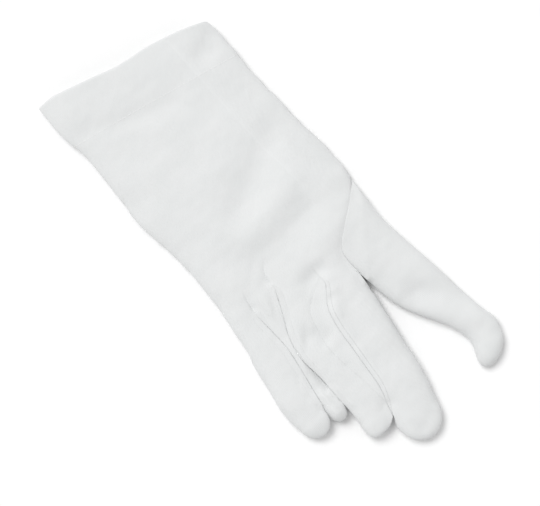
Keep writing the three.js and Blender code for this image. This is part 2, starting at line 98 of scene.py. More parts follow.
@dataclass(frozen=True)
class HandRow:
    """A cross-section of the hand.

    It has both sides in plan, the side seam's height, the back's height and reach, and the heights of the
    thumb's mouth above and below the seam, where it is open.
    """

    xl: float
    al: float
    xr: float
    ar: float
    edge: float
    top: float
    reach: float
    upper: float | None = None
    lower: float | None = None


@dataclass(frozen=True)
class DigitRow:
    """A cross-section of a digit: its two edges in plan with the seam's height there, and its crown."""

    xl: float
    al: float
    zl: float
    xr: float
    ar: float
    zr: float
    top: float


HAND_ROWS = (  # the values of a HandRow, in its order
    (-48.4, -8.6, 49.3, 6.8, 4.6, 10.4, 26),
    (-47.2, 10, 51.5, 22, 4.6, 10.4, 26),
    (-43.4, 28, 52.2, 40, 4.4, 10.2, 26),
    (-42.6, 50, 54.8, 60, 4.2, 10.8, 28),
    (-42.0, 72, 57.2, 80, 4.0, 11.4, 28),
    (-37.6, 94, 60.3, 99, 4.0, 11.6, 26),
    (-35.8, 110, 60.4, 117, 4.2, 11.4, 22),
    (-35.3, 120, 53.1, 125.6, 4.4, 11.3, 18, 9.2, 0),
    (-35.2, 129, 43.5, 134.2, 4.5, 11.2, 15, 10.2, 0),
    (-35.5, 138, 34.4, 144.5, 4.6, 11.0, 13, 9.8, 0),
    (-36.0, 146, 34.8, 160, 4.8, 11.0, 12),
)
CUFF_EDGE = (  # the points of the cuff's edge in plan, as x and a
    (-48.4, -8.6),
    (-40, -9.7),
    (-23, -6.2),
    (-1, -1.4),
    (17, -0.8),
    (35, 2.6),
    (49.3, 6.8),
)


class Track:
    """A smooth curve through columns of a table, read at a share of the way down its rows."""

    SHORT = 1e-4  # rows nearer than this, as the root of their distance, are one point of the curve

    def __init__(self, rows: list[tuple[float, ...]]) -> None:
        """Keeps the table's rows.

        Args:
            rows: the values that the curve passes through, a row for each section.
        """
        points = np.array(rows, float)
        first = 2 * points[0] - points[1]
        last = 2 * points[-1] - points[-2]
        self.spans = len(points) - 1
        self.points = np.vstack([first, points, last])

    def __call__(self, share: np.ndarray) -> np.ndarray:
        """Reads the curve, a centripetal Catmull-Rom spline.

        Args:
            share: shares of the way, from 0 to 1.

        Returns:
            The curve's values, one row of columns for each share.
        """
        at = np.clip(share, 0, 1) * self.spans
        k = np.minimum(at.astype(int), self.spans - 1)
        w = (at - k)[..., None]
        p0, p1, p2, p3 = (self.points[k + step] for step in range(4))
        d0, d1, d2 = (
            np.sqrt(np.linalg.norm(q - p, axis=-1, keepdims=True)) for p, q in ((p0, p1), (p1, p2), (p2, p3))
        )
        d1 = np.where(d1 < self.SHORT, 1.0, d1)
        d0 = np.where(d0 < self.SHORT, d1, d0)
        d2 = np.where(d2 < self.SHORT, d1, d2)
        t1 = ((p1 - p0) / d0 - (p2 - p0) / (d0 + d1) + (p2 - p1) / d1) * d1
        t2 = ((p2 - p1) / d1 - (p3 - p1) / (d1 + d2) + (p3 - p2) / d2) * d1
        square = w * w
        cube = square * w
        return p1 + t1 * w + (3 * (p2 - p1) - 2 * t1 - t2) * square + (2 * (p1 - p2) + t1 + t2) * cube


@dataclass
class Digit:
    """A finger or the thumb: its sections, its tip in plan, and how round its top and underside are."""

    rows: tuple[tuple[float, ...], ...]  # the values of a DigitRow, in its order
    tip: tuple[float, float]
    top_power: float = 2.0
    tip_power: float = 2.0  # how round the top is at the end of the straight part
    tip_bend: float = 1.0  # 1 for a tip that is half an ellipse in plan, less for a squarer one
    under_power: tuple[float, float] = (2.0, 2.0)
    left: Track = field(init=False)
    right: Track = field(init=False)
    crown: Track = field(init=False)

    def __post_init__(self) -> None:
        """Draws the smooth edges and crown through the rows."""
        rows = [DigitRow(*row) for row in self.rows]
        self.left = Track([(r.xl, r.al, r.zl) for r in rows])
        self.right = Track([(r.xr, r.ar, r.zr) for r in rows])
        self.crown = Track([(r.top,) * 3 for r in rows])


LITTLE = Digit(
    rows=(
        (-36.0, 146, 4.8, -21.0, 146, 7.4, 10.6),
        (-36.6, 157, 4.8, -19.6, 157, 7.8, 10.8),
        (-38.4, 167, 4.8, -18.6, 167, 8.2, 11.2),
        (-39.4, 180, 4.8, -19.2, 180, 8.4, 11.6),
        (-40.7, 192, 4.8, -20.6, 192, 8.4, 11.6),
        (-39.8, 203, 4.6, -21.4, 203, 7.3, 10.8),
        (-38.8, 207, 4.5, -22.0, 206, 7.0, 10.7),
    ),
    tip=(-29.6, 216),
    top_power=2.3,
    tip_power=2.3,
    under_power=(2.0, 1.1),
)
RING = Digit(
    rows=(
        (-21.0, 146, 7.4, -5.4, 140, 7.4, 10.2),
        (-22.8, 157, 4.4, -7.6, 153, 4.8, 9.0),
        (-23.8, 167, 2.2, -9.8, 165, 3.0, 8.2),
        (-24.2, 180, 1.8, -11.0, 179, 1.8, 8.0),
        (-24.6, 192, 1.5, -11.2, 191, 1.5, 8.4),
        (-23.6, 202, 3.0, -11.8, 202, 5.4, 9.2),
        (-23.0, 207, 3.4, -12.3, 207, 7.0, 9.6),
    ),
    tip=(-17.2, 215.4),
    top_power=1.35,
    tip_power=2.2,
    tip_bend=0.8,
)
MIDDLE = Digit(
    rows=(
        (-5.4, 140, 7.4, 17.4, 153, 8.0, 11.0),
        (-9.6, 152, 7.6, 10.6, 164, 8.6, 11.4),
        (-14.2, 164, 8.4, 8.6, 175, 8.8, 11.8),
        (-15.8, 177, 8.6, 8.4, 186, 8.8, 12.2),
        (-13.8, 190, 8.6, 8.2, 197, 8.6, 12.2),
        (-12.6, 205, 8.2, 8.0, 208, 8.0, 11.8),
        (-11.6, 218, 6.4, 7.0, 217, 7.6, 11.0),
        (-12.0, 224, 5.8, 5.4, 223, 7.2, 10.8),
    ),
    tip=(-4.4, 233),
    top_power=2.3,
    tip_power=2.3,
    tip_bend=0.6,
    under_power=(1.1, 2.0),
)
INDEX = Digit(
    rows=(
        (17.4, 153, 8.0, 34.8, 160, 4.8, 10.8),
        (11.1, 164, 8.6, 34.7, 169, 4.8, 11.4),
        (9.2, 175, 8.8, 34.3, 179, 4.8, 11.8),
        (8.9, 187, 8.8, 33.6, 190, 4.8, 12.0),
        (8.7, 200, 8.6, 32.5, 202, 4.8, 11.8),
        (8.4, 212, 8.0, 31.9, 214, 4.8, 11.6),
        (5.9, 223, 7.6, 30.3, 225, 4.6, 11.2),
        (2.8, 234, 5.6, 27.7, 236, 4.4, 11.0),
    ),
    tip=(14.6, 249.8),
    top_power=2.5,
    tip_power=2.5,
)
THUMB = Digit(
    rows=(
        (35.8, 165, 4.6, 60.8, 128, 4.4, 10.6),
        (37.2, 172, 4.6, 61.2, 143, 4.4, 10.8),
        (39.2, 180, 4.6, 64.4, 160, 4.4, 11.0),
        (42.4, 188, 4.6, 68.5, 179, 4.4, 11.4),
        (48.6, 198, 4.4, 71.6, 196, 4.4, 11.4),
        (56.2, 209.8, 4.4, 74.8, 210.5, 4.2, 10.6),
        (59.9, 221, 4.2, 77.6, 220, 4.2, 9.9),
        (57.4, 231, 4.0, 75.8, 228.5, 4.0, 9.7),
    ),
    tip=(63.4, 238.2),
    top_power=2.3,
    tip_power=2.3,
)
FINGERS = (LITTLE, RING, MIDDLE, INDEX)
LAST = len(FINGERS) - 1


@dataclass(frozen=True)
class SlitRow:
    """How far the panels' edges lie from a slit at a station, on the back and the palm of both fingers."""

    station: float
    left_back: float
    left_palm: float
    right_back: float
    right_palm: float


@dataclass(frozen=True)
class SlitTable:
    """The strip of cloth in the slit to the right of a finger. It runs out to a point at both ends."""

    name: str
    left: int
    rows: tuple[tuple[float, ...], ...]  # the values of a SlitRow, in its order
    blur: float = 0.35  # how many stations the corners between the rows are rounded over

    def width(self, side: int, face: Face, station: np.ndarray) -> np.ndarray:
        """How far the panel's edge lies from the slit.

        Args:
            side: 1 for the finger left of the slit, -1 for the one right of it.
            face: the back or the palm.
            station: stations to read at.

        Returns:
            The distances, in millimetres, with the corners between the rows rounded.
        """
        column = f"{'left' if side > 0 else 'right'}_{face.value}"
        rows = [SlitRow(*row) for row in self.rows]
        at = [HEEL, *(row.station for row in rows), FINGER_STEPS]
        value = [0, *(getattr(row, column) for row in rows), 0]
        shifts = np.linspace(-self.blur, self.blur, ROUNDING)
        rounded = np.mean([np.interp(station + shift, at, value) for shift in shifts], axis=0)
        end = np.clip(np.minimum(station - HEEL, FINGER_STEPS - station) / self.blur, 0, 1)
        return np.interp(station, at, value) * (1 - end) + rounded * end


SLITS = (
    SlitTable(
        name="fourchette_ring_little",
        left=0,
        rows=(
            (0, 3.2, 3.2, 3.2, 3.2),
            (3, 3.4, 6.0, 4.4, 3.2),
            (6, 2.4, 2.8, 2.6, 2.4),
        ),
    ),
    SlitTable(
        name="fourchette_middle_ring",
        left=1,
        rows=(
            (0, 3.2, 3.2, 3.2, 3.2),
            (3, 4.4, 3.2, 3.4, 5.0),
            (6, 2.6, 2.4, 2.4, 2.8),
        ),
    ),
    SlitTable(
        name="fourchette_index_middle",
        left=2,
        rows=(
            (0, 5.0, 3.2, 2.4, 3.2),
            (1, 9.6, 5.4, 2.4, 5.4),
            (3, 10.4, 6.4, 2.6, 6.4),
            (5, 4.2, 5.4, 2.4, 5.4),
            (6, 2.2, 2.2, 2.0, 2.2),
        ),
    ),
)


@dataclass(frozen=True)
class Fineness:
    """How finely the cloth is meshed."""

    cuff_rows: int = 126  # from the cuff to the thumb's seam
    seam_rows: int = 96  # along the thumb's seam
    knuckle_rows: int = 12  # from the fourchettes' points to the knuckles
    finger_rows: int = 98
    tip_rows: int = 40
    finger_columns: int = 30
    limb_columns: int = 16  # across each limb of a fourchette
    root_rows: int = 12  # from the thumb's seam to its first section
    thumb_rows: int = 112
    thumb_tip_rows: int = 36


FINENESS = Fineness()


def lerp(start: np.ndarray, end: np.ndarray, share: np.ndarray) -> np.ndarray:
    """Values between two others, at a share of the way."""
    return start + (end - start) * share


def smooth(value: np.ndarray) -> np.ndarray:
    """A smooth step from 0 at 0 to 1 at 1."""
    t = np.clip(value, 0, 1)
    return t * t * (3 - 2 * t)


def shoulder(s: np.ndarray, power: float) -> np.ndarray:
    """A rounded climb from 0 at s = 0 to 1 at s = 1: a quarter circle at power 2."""
    return (1 - (1 - np.clip(s, 0, 1)) ** power) ** (1 / power)


def running(lengths: np.ndarray) -> np.ndarray:
    """Running totals along the last axis, from 0."""
    return np.concatenate([np.zeros_like(lengths[..., :1]), np.cumsum(lengths, axis=-1)], axis=-1)


def unit(vectors: np.ndarray, least: float = 0.0) -> np.ndarray:
    """The vectors' directions, where a vector shorter than the least counts as that long."""
    return vectors / np.maximum(np.linalg.norm(vectors, axis=-1, keepdims=True), least)


def halves(quads: np.ndarray) -> np.ndarray:
    """Two triangles for each face of four corners."""
    return np.concatenate([quads[:, [0, 1, 2]], quads[:, [0, 2, 3]]])


@dataclass
class Section:
    """Points of the glove's outer face in plan, with the heights of its top, its underside and its seam."""

    x: np.ndarray
    a: np.ndarray
    over: np.ndarray
    under: np.ndarray
    edge: np.ndarray

    def corners(self, face: Face) -> np.ndarray:
        """The points of one face in the row frame, in metres."""
        z = np.maximum(self.over, self.edge) if face is Face.BACK else np.minimum(self.under, self.edge)
        return np.stack([self.x - ORIGIN_X, ORIGIN_A - self.a, z], axis=-1) * MM


class GloveForm:
    """The smooth outer face of the glove, before any fold."""

    def __init__(self) -> None:
        """Draws the hand's smooth sides through its rows."""
        rows = [HandRow(*row) for row in HAND_ROWS]
        self.left = Track([(r.xl, r.al, r.edge) for r in rows])
        self.right = Track([(r.xr, r.ar, r.edge) for r in rows])
        self.crown = Track([(r.top, r.reach, r.reach) for r in rows])
        mouths = [(r.upper or r.edge, r.edge if r.lower is None else r.lower, r.edge) for r in rows]
        self.mouth = Track(mouths)
        self.first = self.digit(LITTLE, np.array(-1.0), np.array(0.0))
        self.last = self.digit(INDEX, np.array(1.0), np.array(0.0))

    @staticmethod
    def heights(
        seam_top: list[np.ndarray],
        seam_under: list[np.ndarray],
        top: np.ndarray,
        distance: list[np.ndarray],
        reach: list[np.ndarray],
        top_power: float | np.ndarray,
        under_reach: list[np.ndarray],
        under_power: tuple[float, float],
    ) -> tuple[np.ndarray, np.ndarray]:
        """The heights of a cross-section's top and underside.

        Args:
            seam_top: where the top starts at the left and the right side.
            seam_under: where the underside starts there.
            top: the crown's height.
            distance: how far each point is from the two sides.
            reach: how far in from each side the crown is reached.
            top_power: how round the top is.
            under_reach: how far in from each side the underside is flat on the floor.
            under_power: how round each side of the underside is.

        Returns:
            The height of the top and that of the underside.
        """
        over = top
        under = 0.0
        for k in (0, 1):
            rise = shoulder(distance[k] / reach[k], top_power)
            drop = shoulder(distance[k] / under_reach[k], under_power[k])
            over = over - (top - seam_top[k]) * (1 - rise)
            under = under + seam_under[k] * (1 - drop)
        return over, under

    def digit(self, digit: Digit, u: np.ndarray, station: np.ndarray) -> Section:
        """Points of a finger or the thumb.

        Args:
            digit: the finger.
            u: -1 at its left side to 1 at its right.
            station: steps from its root, past FINGER_STEPS round its tip.

        Returns:
            The points.
        """
        share = np.clip(station / FINGER_STEPS, 0, 1)
        turn = np.clip((station - FINGER_STEPS) / TIP_STEPS, 0, 1) * (math.pi / 2)
        left = digit.left(share)
        right = digit.right(share)
        across = right[..., :2] - left[..., :2]
        width = np.linalg.norm(across, axis=-1)
        half = width / 2
        middle = (left[..., :2] + right[..., :2]) / 2
        round_off = np.maximum(np.cos(turn), 0) ** digit.tip_bend
        point = middle + across / 2 * (u * round_off)[..., None]
        point = point + (np.array(digit.tip) - middle) * np.sin(turn)[..., None]
        zl = left[..., 2]
        zr = right[..., 2]
        under_reach = [np.minimum(half, np.maximum(SIDE_REACH, SIDE_SLOPE * z)) for z in (zl, zr)]
        over, under = self.heights(
            seam_top=[zl, zr],
            seam_under=[zl, zr],
            top=digit.crown(share)[..., 0],
            distance=[half * (1 + u), half * (1 - u)],
            reach=[half, half],
            top_power=lerp(digit.top_power, digit.tip_power, smooth((share - TOP_TURN) / (1 - TOP_TURN))),
            under_reach=under_reach,
            under_power=digit.under_power,
        )
        edge = lerp((zl + zr) / 2, lerp(zl, zr, (1 + u) / 2), round_off)
        return Section(
            x=point[..., 0],
            a=point[..., 1],
            over=lerp(edge, over, round_off),
            under=lerp(edge, under, round_off),
            edge=edge,
        )

    @staticmethod
    def cuff_wave(x: np.ndarray) -> np.ndarray:
        """How far the cuff's edge lies from the straight line between its corners.

        Args:
            x: places across the glove.

        Returns:
            The distances along the glove, in millimetres.
        """
        at, value = np.array(CUFF_EDGE, float).T
        straight = np.interp(at, at[[0, -1]], value[[0, -1]])
        shifts = np.linspace(-CUFF_BLUR, CUFF_BLUR, ROUNDING)
        return np.mean([np.interp(x + shift, at, value - straight) for shift in shifts], axis=0)

    def hand(self, finger: int, u: np.ndarray, station: np.ndarray) -> Section:
        """Points of the hand, in the share of its width that leads to one finger.

        Args:
            finger: the finger's number, from 0 for the little one.
            u: -1 to 1 across its share.
            station: from -HAND_STEPS at the cuff to 0 at the knuckles.

        Returns:
            The points.
        """
        share = 1 + station / HAND_STEPS
        base = self.digit(FINGERS[finger], u, np.zeros_like(station))
        left = self.left(share)
        right = self.right(share)
        crown = self.crown(share)
        mouth = self.mouth(share)
        c = (base.x - self.first.x) / (self.last.x - self.first.x)
        width = np.linalg.norm(right[..., :2] - left[..., :2], axis=-1)
        flat = np.full_like(width, FLOOR_REACH)
        over, under = self.heights(
            seam_top=[left[..., 2], np.maximum(right[..., 2], mouth[..., 0])],
            seam_under=[left[..., 2], np.minimum(right[..., 2], np.maximum(0, mouth[..., 1]))],
            top=crown[..., 0],
            distance=[c * width, (1 - c) * width],
            reach=[crown[..., 1], crown[..., 1]],
            top_power=2.0,
            under_reach=[flat, flat],
            under_power=(2.0, 2.0),
        )
        part = np.clip((share - 1 + KNUCKLE_ZONE) / KNUCKLE_ZONE, 0, 1) ** KNUCKLE_POWER
        bend = share**2
        x = lerp(left[..., 0], right[..., 0], c)
        wave = self.cuff_wave(x) * (1 - np.clip(share / CUFF_WAVE_SHARE, 0, 1)) ** 2
        spread_x = base.x - lerp(self.first.x, self.last.x, c)
        spread_a = base.a - lerp(self.first.a, self.last.a, c)
        return Section(
            x=x + bend * spread_x,
            a=lerp(left[..., 1], right[..., 1], c) + wave + bend * spread_a,
            over=lerp(over, base.over, part),
            under=lerp(under, base.under, part),
            edge=lerp(lerp(left[..., 2], right[..., 2], c), base.edge, part),
        )

    def finger(self, finger: int, u: np.ndarray, station: np.ndarray) -> Section:
        """Points of a finger, or of the hand where it leads to that finger.

        Args:
            finger: the finger's number, from 0 for the little one.
            u: -1 at its left side to 1 at its right.
            station: steps from the knuckles, below 0 in the hand.

        Returns:
            The points.
        """
        on_hand = station < 0
        hand = self.hand(finger, u, np.minimum(station, 0))
        digit = self.digit(FINGERS[finger], u, np.maximum(station, 0))
        names = ("x", "a", "over", "under", "edge")
        return Section(**{n: np.where(on_hand, getattr(hand, n), getattr(digit, n)) for n in names})

    def thumb(self, seam_station: np.ndarray, station: np.ndarray, face: Face) -> np.ndarray:
        """Points of the thumb in the row frame. Its station 0 is the seam along the side of the hand.

        Args:
            seam_station: the hand's station where a point's column leaves the seam.
            station: steps from the seam.
            face: the back or the palm.

        Returns:
            The points, in metres.
        """
        u = 2 * seam_station / MOUTH - 1
        root = self.finger(LAST, np.ones_like(u), seam_station).corners(face)
        first = self.digit(THUMB, u, np.zeros_like(u)).corners(face)
        onward = (self.digit(THUMB, u, np.full_like(u, ONWARD_STEP)).corners(face) - first) / ONWARD_STEP
        onward = onward * (np.linalg.norm(first - root, axis=-1) / np.linalg.norm(onward, axis=-1))[..., None]
        t = np.clip(station, 0, 1)[..., None]
        # A cubic that leaves the seam straight for the first section and joins the thumb there smoothly
        joined = lerp(root, first, t) + (onward - (first - root)) * (t * t * (t - 1))
        beyond = self.digit(THUMB, u, np.maximum(station - 1, 0)).corners(face)
        return np.where((station < 1)[..., None], joined, beyond)


def stops(count: int, dense_left: float, dense_right: float) -> np.ndarray:
    """Shares from 0 to 1 that crowd towards either end, as equal steps round an arc do.

    Args:
        count: how many steps there are.
        dense_left: how much they crowd at 0, from 0 to 1.
        dense_right: how much they crowd at 1.

    Returns:
        The shares, count + 1 of them.
    """
    t = np.linspace(0, 1, count + 1)
    left = 1 - np.cos(math.pi / 2 * t)
    right = np.sin(math.pi / 2 * t)
    both = (1 - np.cos(math.pi * t)) / 2
    plain = lerp(t, left, dense_left)
    return lerp(plain, lerp(right, both, dense_left), dense_right)


@dataclass
class Patch:
    """A grid of points on the glove's outer face, all in one piece of cloth."""

    piece: str
    face: Face
    points: np.ndarray
    fabric: np.ndarray  # the same points in the flat cloth, across and along the wales, in millimetres
    station: np.ndarray
    start: int = 0

    @property
    def count(self) -> int:
        """How many points the grid has."""
        return self.points.shape[0] * self.points.shape[1]

    @property
    def numbers(self) -> np.ndarray:
        """The grid's points as numbers among those of all the patches."""
        return np.arange(self.count).reshape(self.points.shape[:2]) + self.start

    def quads(self, limit: int | None = None) -> np.ndarray:
        """The grid's squares, as four point numbers each, seen from outside.

        Args:
            limit: how many of the first rows to take, or None for all of them.

        Returns:
            The squares.
        """
        n = self.numbers[:limit]
        around = [n[:-1, :-1], n[1:, :-1], n[1:, 1:], n[:-1, 1:]]
        if self.face is Face.PALM:
            around.reverse()
        return np.stack(around, axis=-1).reshape(-1, 4)


def fabric_of(
    points: np.ndarray, straight: bool, weight_left: np.ndarray, weight_right: np.ndarray
) -> np.ndarray:
    """Where a grid's points lie in the flat cloth.

    Args:
        points: the grid, in metres.
        straight: whether the wales run along the glove, and not along the grid's own columns.
        weight_left: for each row, how much of the curl down to its left side is laid flat.
        weight_right: the same for its right side.

    Returns:
        The places across and along the wales, in millimetres.
    """
    middle = points.shape[1] // 2
    flat = points / MM
    arc = running(np.linalg.norm(np.diff(flat, axis=1), axis=-1))
    arc = arc - arc[:, middle : middle + 1]
    if not straight:
        along = running(np.linalg.norm(np.diff(flat[:, middle], axis=0), axis=-1))
        return np.stack([arc, np.broadcast_to(along[:, None], arc.shape)], axis=-1)
    plan = np.linalg.norm(flat[..., :2] - flat[:, middle : middle + 1, :2], axis=-1)
    extra = np.abs(arc) - plan
    side = np.arange(arc.shape[1]) - middle
    curl = np.where(side < 0, -extra * weight_left[:, None], extra * weight_right[:, None])
    return np.stack([flat[..., 0] + curl, -flat[..., 1]], axis=-1)


class ClothPattern:
    """Cuts the glove's form into the patches of its pieces of cloth."""

    CROWDING = 0.9  # how much columns crowd at the hand's sides, and rows where the thumb's seam starts
    PARTING = -3.0  # the station from which columns crowd where two fingers part
    PARTING_STEPS = 2.5  # over how many stations they come to do so

    def __init__(self, form: GloveForm, fineness: Fineness, cuff_start: float) -> None:
        """Lays out the rows of the mesh.

        Args:
            form: the glove's outer face.
            fineness: how many rows and columns there are.
            cuff_start: how many stations from the cuff's edge the panels' first row lies.
        """
        self.form = form
        self.fine = fineness
        f = fineness
        cuff = np.linspace(cuff_start - HAND_STEPS, MOUTH, f.cuff_rows + 1)
        seam = lerp(MOUTH, HEEL, stops(f.seam_rows, self.CROWDING, 0.0))
        knuckle = lerp(HEEL, 0.0, stops(f.knuckle_rows, 0.0, 1.0))
        straight = np.linspace(0, FINGER_STEPS, f.finger_rows + 1)
        tip = FINGER_STEPS + TIP_STEPS * np.linspace(0, 1, f.tip_rows + 1)
        self.seam_stations = np.concatenate([seam, knuckle[1:]])
        self.limb_stations = np.concatenate([knuckle, straight[1:]])
        self.stations = np.concatenate([cuff, seam[1:], knuckle[1:], straight[1:], tip[1:]])

    def u_from(self, finger: int, side: int, station: np.ndarray, distance: np.ndarray) -> np.ndarray:
        """The u of places that lie a distance in from one side of a finger.

        Args:
            finger: the finger's number.
            side: -1 for its left side, 1 for its right.
            station: the places' stations.
            distance: how far in they lie, in millimetres.

        Returns:
            The u of each place, from -1 at the left side to 1 at the right.
        """
        near = self.form.finger(finger, np.full_like(station, side), station)
        far = self.form.finger(finger, np.full_like(station, -side), station)
        return side * (1 - 2 * distance / np.hypot(far.x - near.x, far.a - near.a))

    def span(self, finger: int, face: Face) -> list[np.ndarray]:
        """Where a panel starts and ends on a finger, beside the fourchettes.

        Args:
            finger: the finger's number.
            face: the back or the palm.

        Returns:
            The u of its left and its right edge, for each station.
        """
        found = []
        for side, number in ((-1, finger - 1), (1, finger)):
            edge = np.full_like(self.stations, side)
            if 0 <= number < len(SLITS):
                inside = (self.stations > HEEL) & (self.stations < FINGER_STEPS)
                at = self.stations[inside]
                edge[inside] = self.u_from(finger, side, at, SLITS[number].width(side, face, at))
            found.append(edge)
        return found

    def panel(self, name: str, face: Face) -> list[Patch]:
        """The patches of the back or the palm: one for each finger and its share of the hand.

        Args:
            name: the panel's CAD node.
            face: the back or the palm.

        Returns:
            The patches, from the little finger's to the index finger's.
        """
        made = []
        parting = smooth((self.stations - self.PARTING) / self.PARTING_STEPS)
        border = np.full_like(parting, self.CROWDING)
        split = smooth(self.stations / -HEEL + 1)
        whole = np.ones_like(split)
        for finger in range(len(FINGERS)):
            outer = (finger == 0, finger == LAST)
            u_left, u_right = self.span(finger, face)
            crowding = zip(*(border if at_side else parting for at_side in outer))
            share = np.array([stops(self.fine.finger_columns, *both) for both in crowding])
            u = lerp(u_left[:, None], u_right[:, None], share)
            station = np.broadcast_to(self.stations[:, None], u.shape)
            points = self.form.finger(finger, u, station).corners(face)
            fabric = fabric_of(points, True, *(whole if at_side else split for at_side in outer))
            made.append(Patch(name, face, points, fabric, station))
        return made

    def fourchette(self, table: SlitTable) -> list[Patch]:
        """The patches of a fourchette: a limb above and below the edge of each of its two fingers.

        Args:
            table: how wide the fourchette is.

        Returns:
            The patches.
        """
        made = []
        share = stops(self.fine.limb_columns, 1.0, 1.0)
        for finger, side in ((table.left, 1), (table.left + 1, -1)):
            for face in Face:
                distance = table.width(side, face, self.limb_stations)[:, None] * share[None, :]
                station = np.broadcast_to(self.limb_stations[:, None], distance.shape)
                u = self.u_from(finger, side, station, distance)
                points = self.form.finger(finger, u, station).corners(face)
                arc = running(np.linalg.norm(np.diff(points, axis=1), axis=-1) / MM)
                fabric = np.stack([arc if face is Face.BACK else -arc, -points[..., 1] / MM], axis=-1)
                order = slice(None, None, -side)
                made.append(Patch(table.name, face, points[:, order], fabric[:, order], station))
        return made

    def thumb(self, name: str) -> list[Patch]:
        """The patches of the thumb's back and palm, from its seam to its tip.

        Args:
            name: the thumb's CAD node.

        Returns:
            The patches.
        """
        f = self.fine
        root = np.linspace(0, 1, f.root_rows + 1)
        straight = 1 + np.linspace(0, FINGER_STEPS, f.thumb_rows + 1)
        tip = 1 + FINGER_STEPS + TIP_STEPS * np.linspace(0, 1, f.thumb_tip_rows + 1)
        rows = np.concatenate([root, straight[1:], tip[1:]])
        seam, station = np.meshgrid(self.seam_stations[::-1], rows)
        whole = np.ones(len(rows))
        made = []
        for face in Face:
            points = self.form.thumb(seam, station, face)
            made.append(Patch(name, face, points, fabric_of(points, False, whole, whole), station))
        return made


class Skin:
    """The glove's whole outer face as one mesh, whose patches share the points of their seams."""

    JOIN = 1e-5  # points nearer to each other than this, in metres, are one
    LEAST_AREA = 1e-20  # faces that have turned to nothing, in square metres, have no direction
    START = 0.03  # how far inside the cloth's face a look into the glove starts, in millimetres
    ROOM_LIMIT = 4.0
    ROOM_RINGS = 3  # how far the least room spreads, in triangles

    def __init__(self, patches: list[Patch]) -> None:
        """Joins the patches.

        Args:
            patches: all the patches of the outer face.
        """
        self.patches = patches
        self.piece_of: dict[str, list[Patch]] = {}
        start = 0
        for patch in patches:
            patch.start = start
            start += patch.count
            self.piece_of.setdefault(patch.piece, []).append(patch)
        raw = np.concatenate([p.points.reshape(-1, 3) for p in patches])
        kept, self.owner = np.unique(self._join(raw), return_inverse=True)
        self.points = raw[kept]
        self.fabric = np.concatenate([p.fabric.reshape(-1, 2) for p in patches])

    def _join(self, raw: np.ndarray) -> np.ndarray:
        """Finds points at the same place. Only patch borders are looked at.

        Args:
            raw: the points of all patches.

        Returns:
            For each point, the number of the first point at its place.
        """
        owner = np.arange(len(raw))
        grids = [patch.numbers for patch in self.patches]
        border = np.unique(np.concatenate([side for n in grids for side in (n[0], n[-1], n[:, 0], n[:, -1])]))
        tree = KDTree(len(border))
        for number, index in enumerate(border):
            tree.insert(raw[index], number)
        tree.balance()
        for index in border:
            near = tree.find_range(raw[index], self.JOIN)
            owner[index] = min(int(border[number]) for _, number, _ in near)
        return owner[owner]

    def triangles(self, patches: list[Patch], rows: int | None = None) -> tuple[np.ndarray, np.ndarray]:
        """The triangles of some patches.

        Args:
            patches: the patches to take.
            rows: how many of their first rows to take, or None for all of them.

        Returns:
            Their corners as numbers of the skin's points, and as numbers in the patches' own grids.
        """
        raw = halves(np.concatenate([p.quads(rows) for p in patches]))
        joined = self.owner[raw]
        real = (joined != np.roll(joined, 1, axis=1)).all(axis=1)
        return joined[real], raw[real]

    def normals(self, points: np.ndarray) -> np.ndarray:
        """The direction out of the cloth at each point.

        Args:
            points: where the skin's points are now.

        Returns:
            Unit vectors.
        """
        joined, _ = self.triangles(self.patches)
        p, q, r = (points[joined[:, k]] for k in range(3))
        face = np.cross(q - p, r - p)
        total = np.zeros_like(points)
        for k in range(3):
            for axis in range(3):
                total[:, axis] += np.bincount(joined[:, k], face[:, axis], len(points))
        return unit(total, self.LEAST_AREA)

    def room(self, points: np.ndarray, normals: np.ndarray) -> np.ndarray:
        """How far each point is from the other side of the glove, straight into it.

        Args:
            points: where the skin's points are now, in metres.
            normals: the directions out of the cloth there.

        Returns:
            The distances in millimetres, at most ROOM_LIMIT.
        """
        joined, _ = self.triangles(self.patches)
        scaled = points / MM
        tree = BVHTree.FromPolygons(scaled.tolist(), joined.tolist(), all_triangles=True)
        starts = (scaled - normals * self.START).tolist()
        found = np.full(len(points), self.ROOM_LIMIT)
        for number, (start, way) in enumerate(zip(starts, (-normals).tolist())):
            far = tree.ray_cast(start, way, self.ROOM_LIMIT)[3]
            if far is not None:
                found[number] = far
        # At a sharp edge a look may miss the other side, so a point never has more room than those beside it
        for _ in range(self.ROOM_RINGS):
            least = found[joined].min(axis=1)
            for k in range(3):
                np.minimum.at(found, joined[:, k], least)
        return found

    def seam_edges(self) -> np.ndarray:
        """The edges where two pieces of cloth meet.

        Returns:
            Pairs of point numbers.
        """
        borders = [border_edges(self.triangles(patches)[0]) for patches in self.piece_of.values()]
        every = np.sort(np.concatenate([np.stack([p, q], axis=1) for p, q, _ in borders]), axis=1)
        edges, uses = np.unique(every, axis=0, return_counts=True)
        return edges[uses > 1]


def border_edges(triangles: np.ndarray) -> tuple[np.ndarray, np.ndarray, np.ndarray]:
    """The edges that only one triangle has.

    Args:
        triangles: three point numbers each.

    Returns:
        The edges' first and last points, in their triangle's own direction, and the corner across from each.
    """
    first, last, opposite = (np.roll(triangles, -step, axis=1).T.ravel() for step in range(3))
    edges = np.sort(np.stack([first, last], axis=1), axis=1)
    _, back, uses = np.unique(edges, axis=0, return_inverse=True, return_counts=True)
    alone = uses[back.ravel()] == 1
    return first[alone], last[alone], opposite[alone]


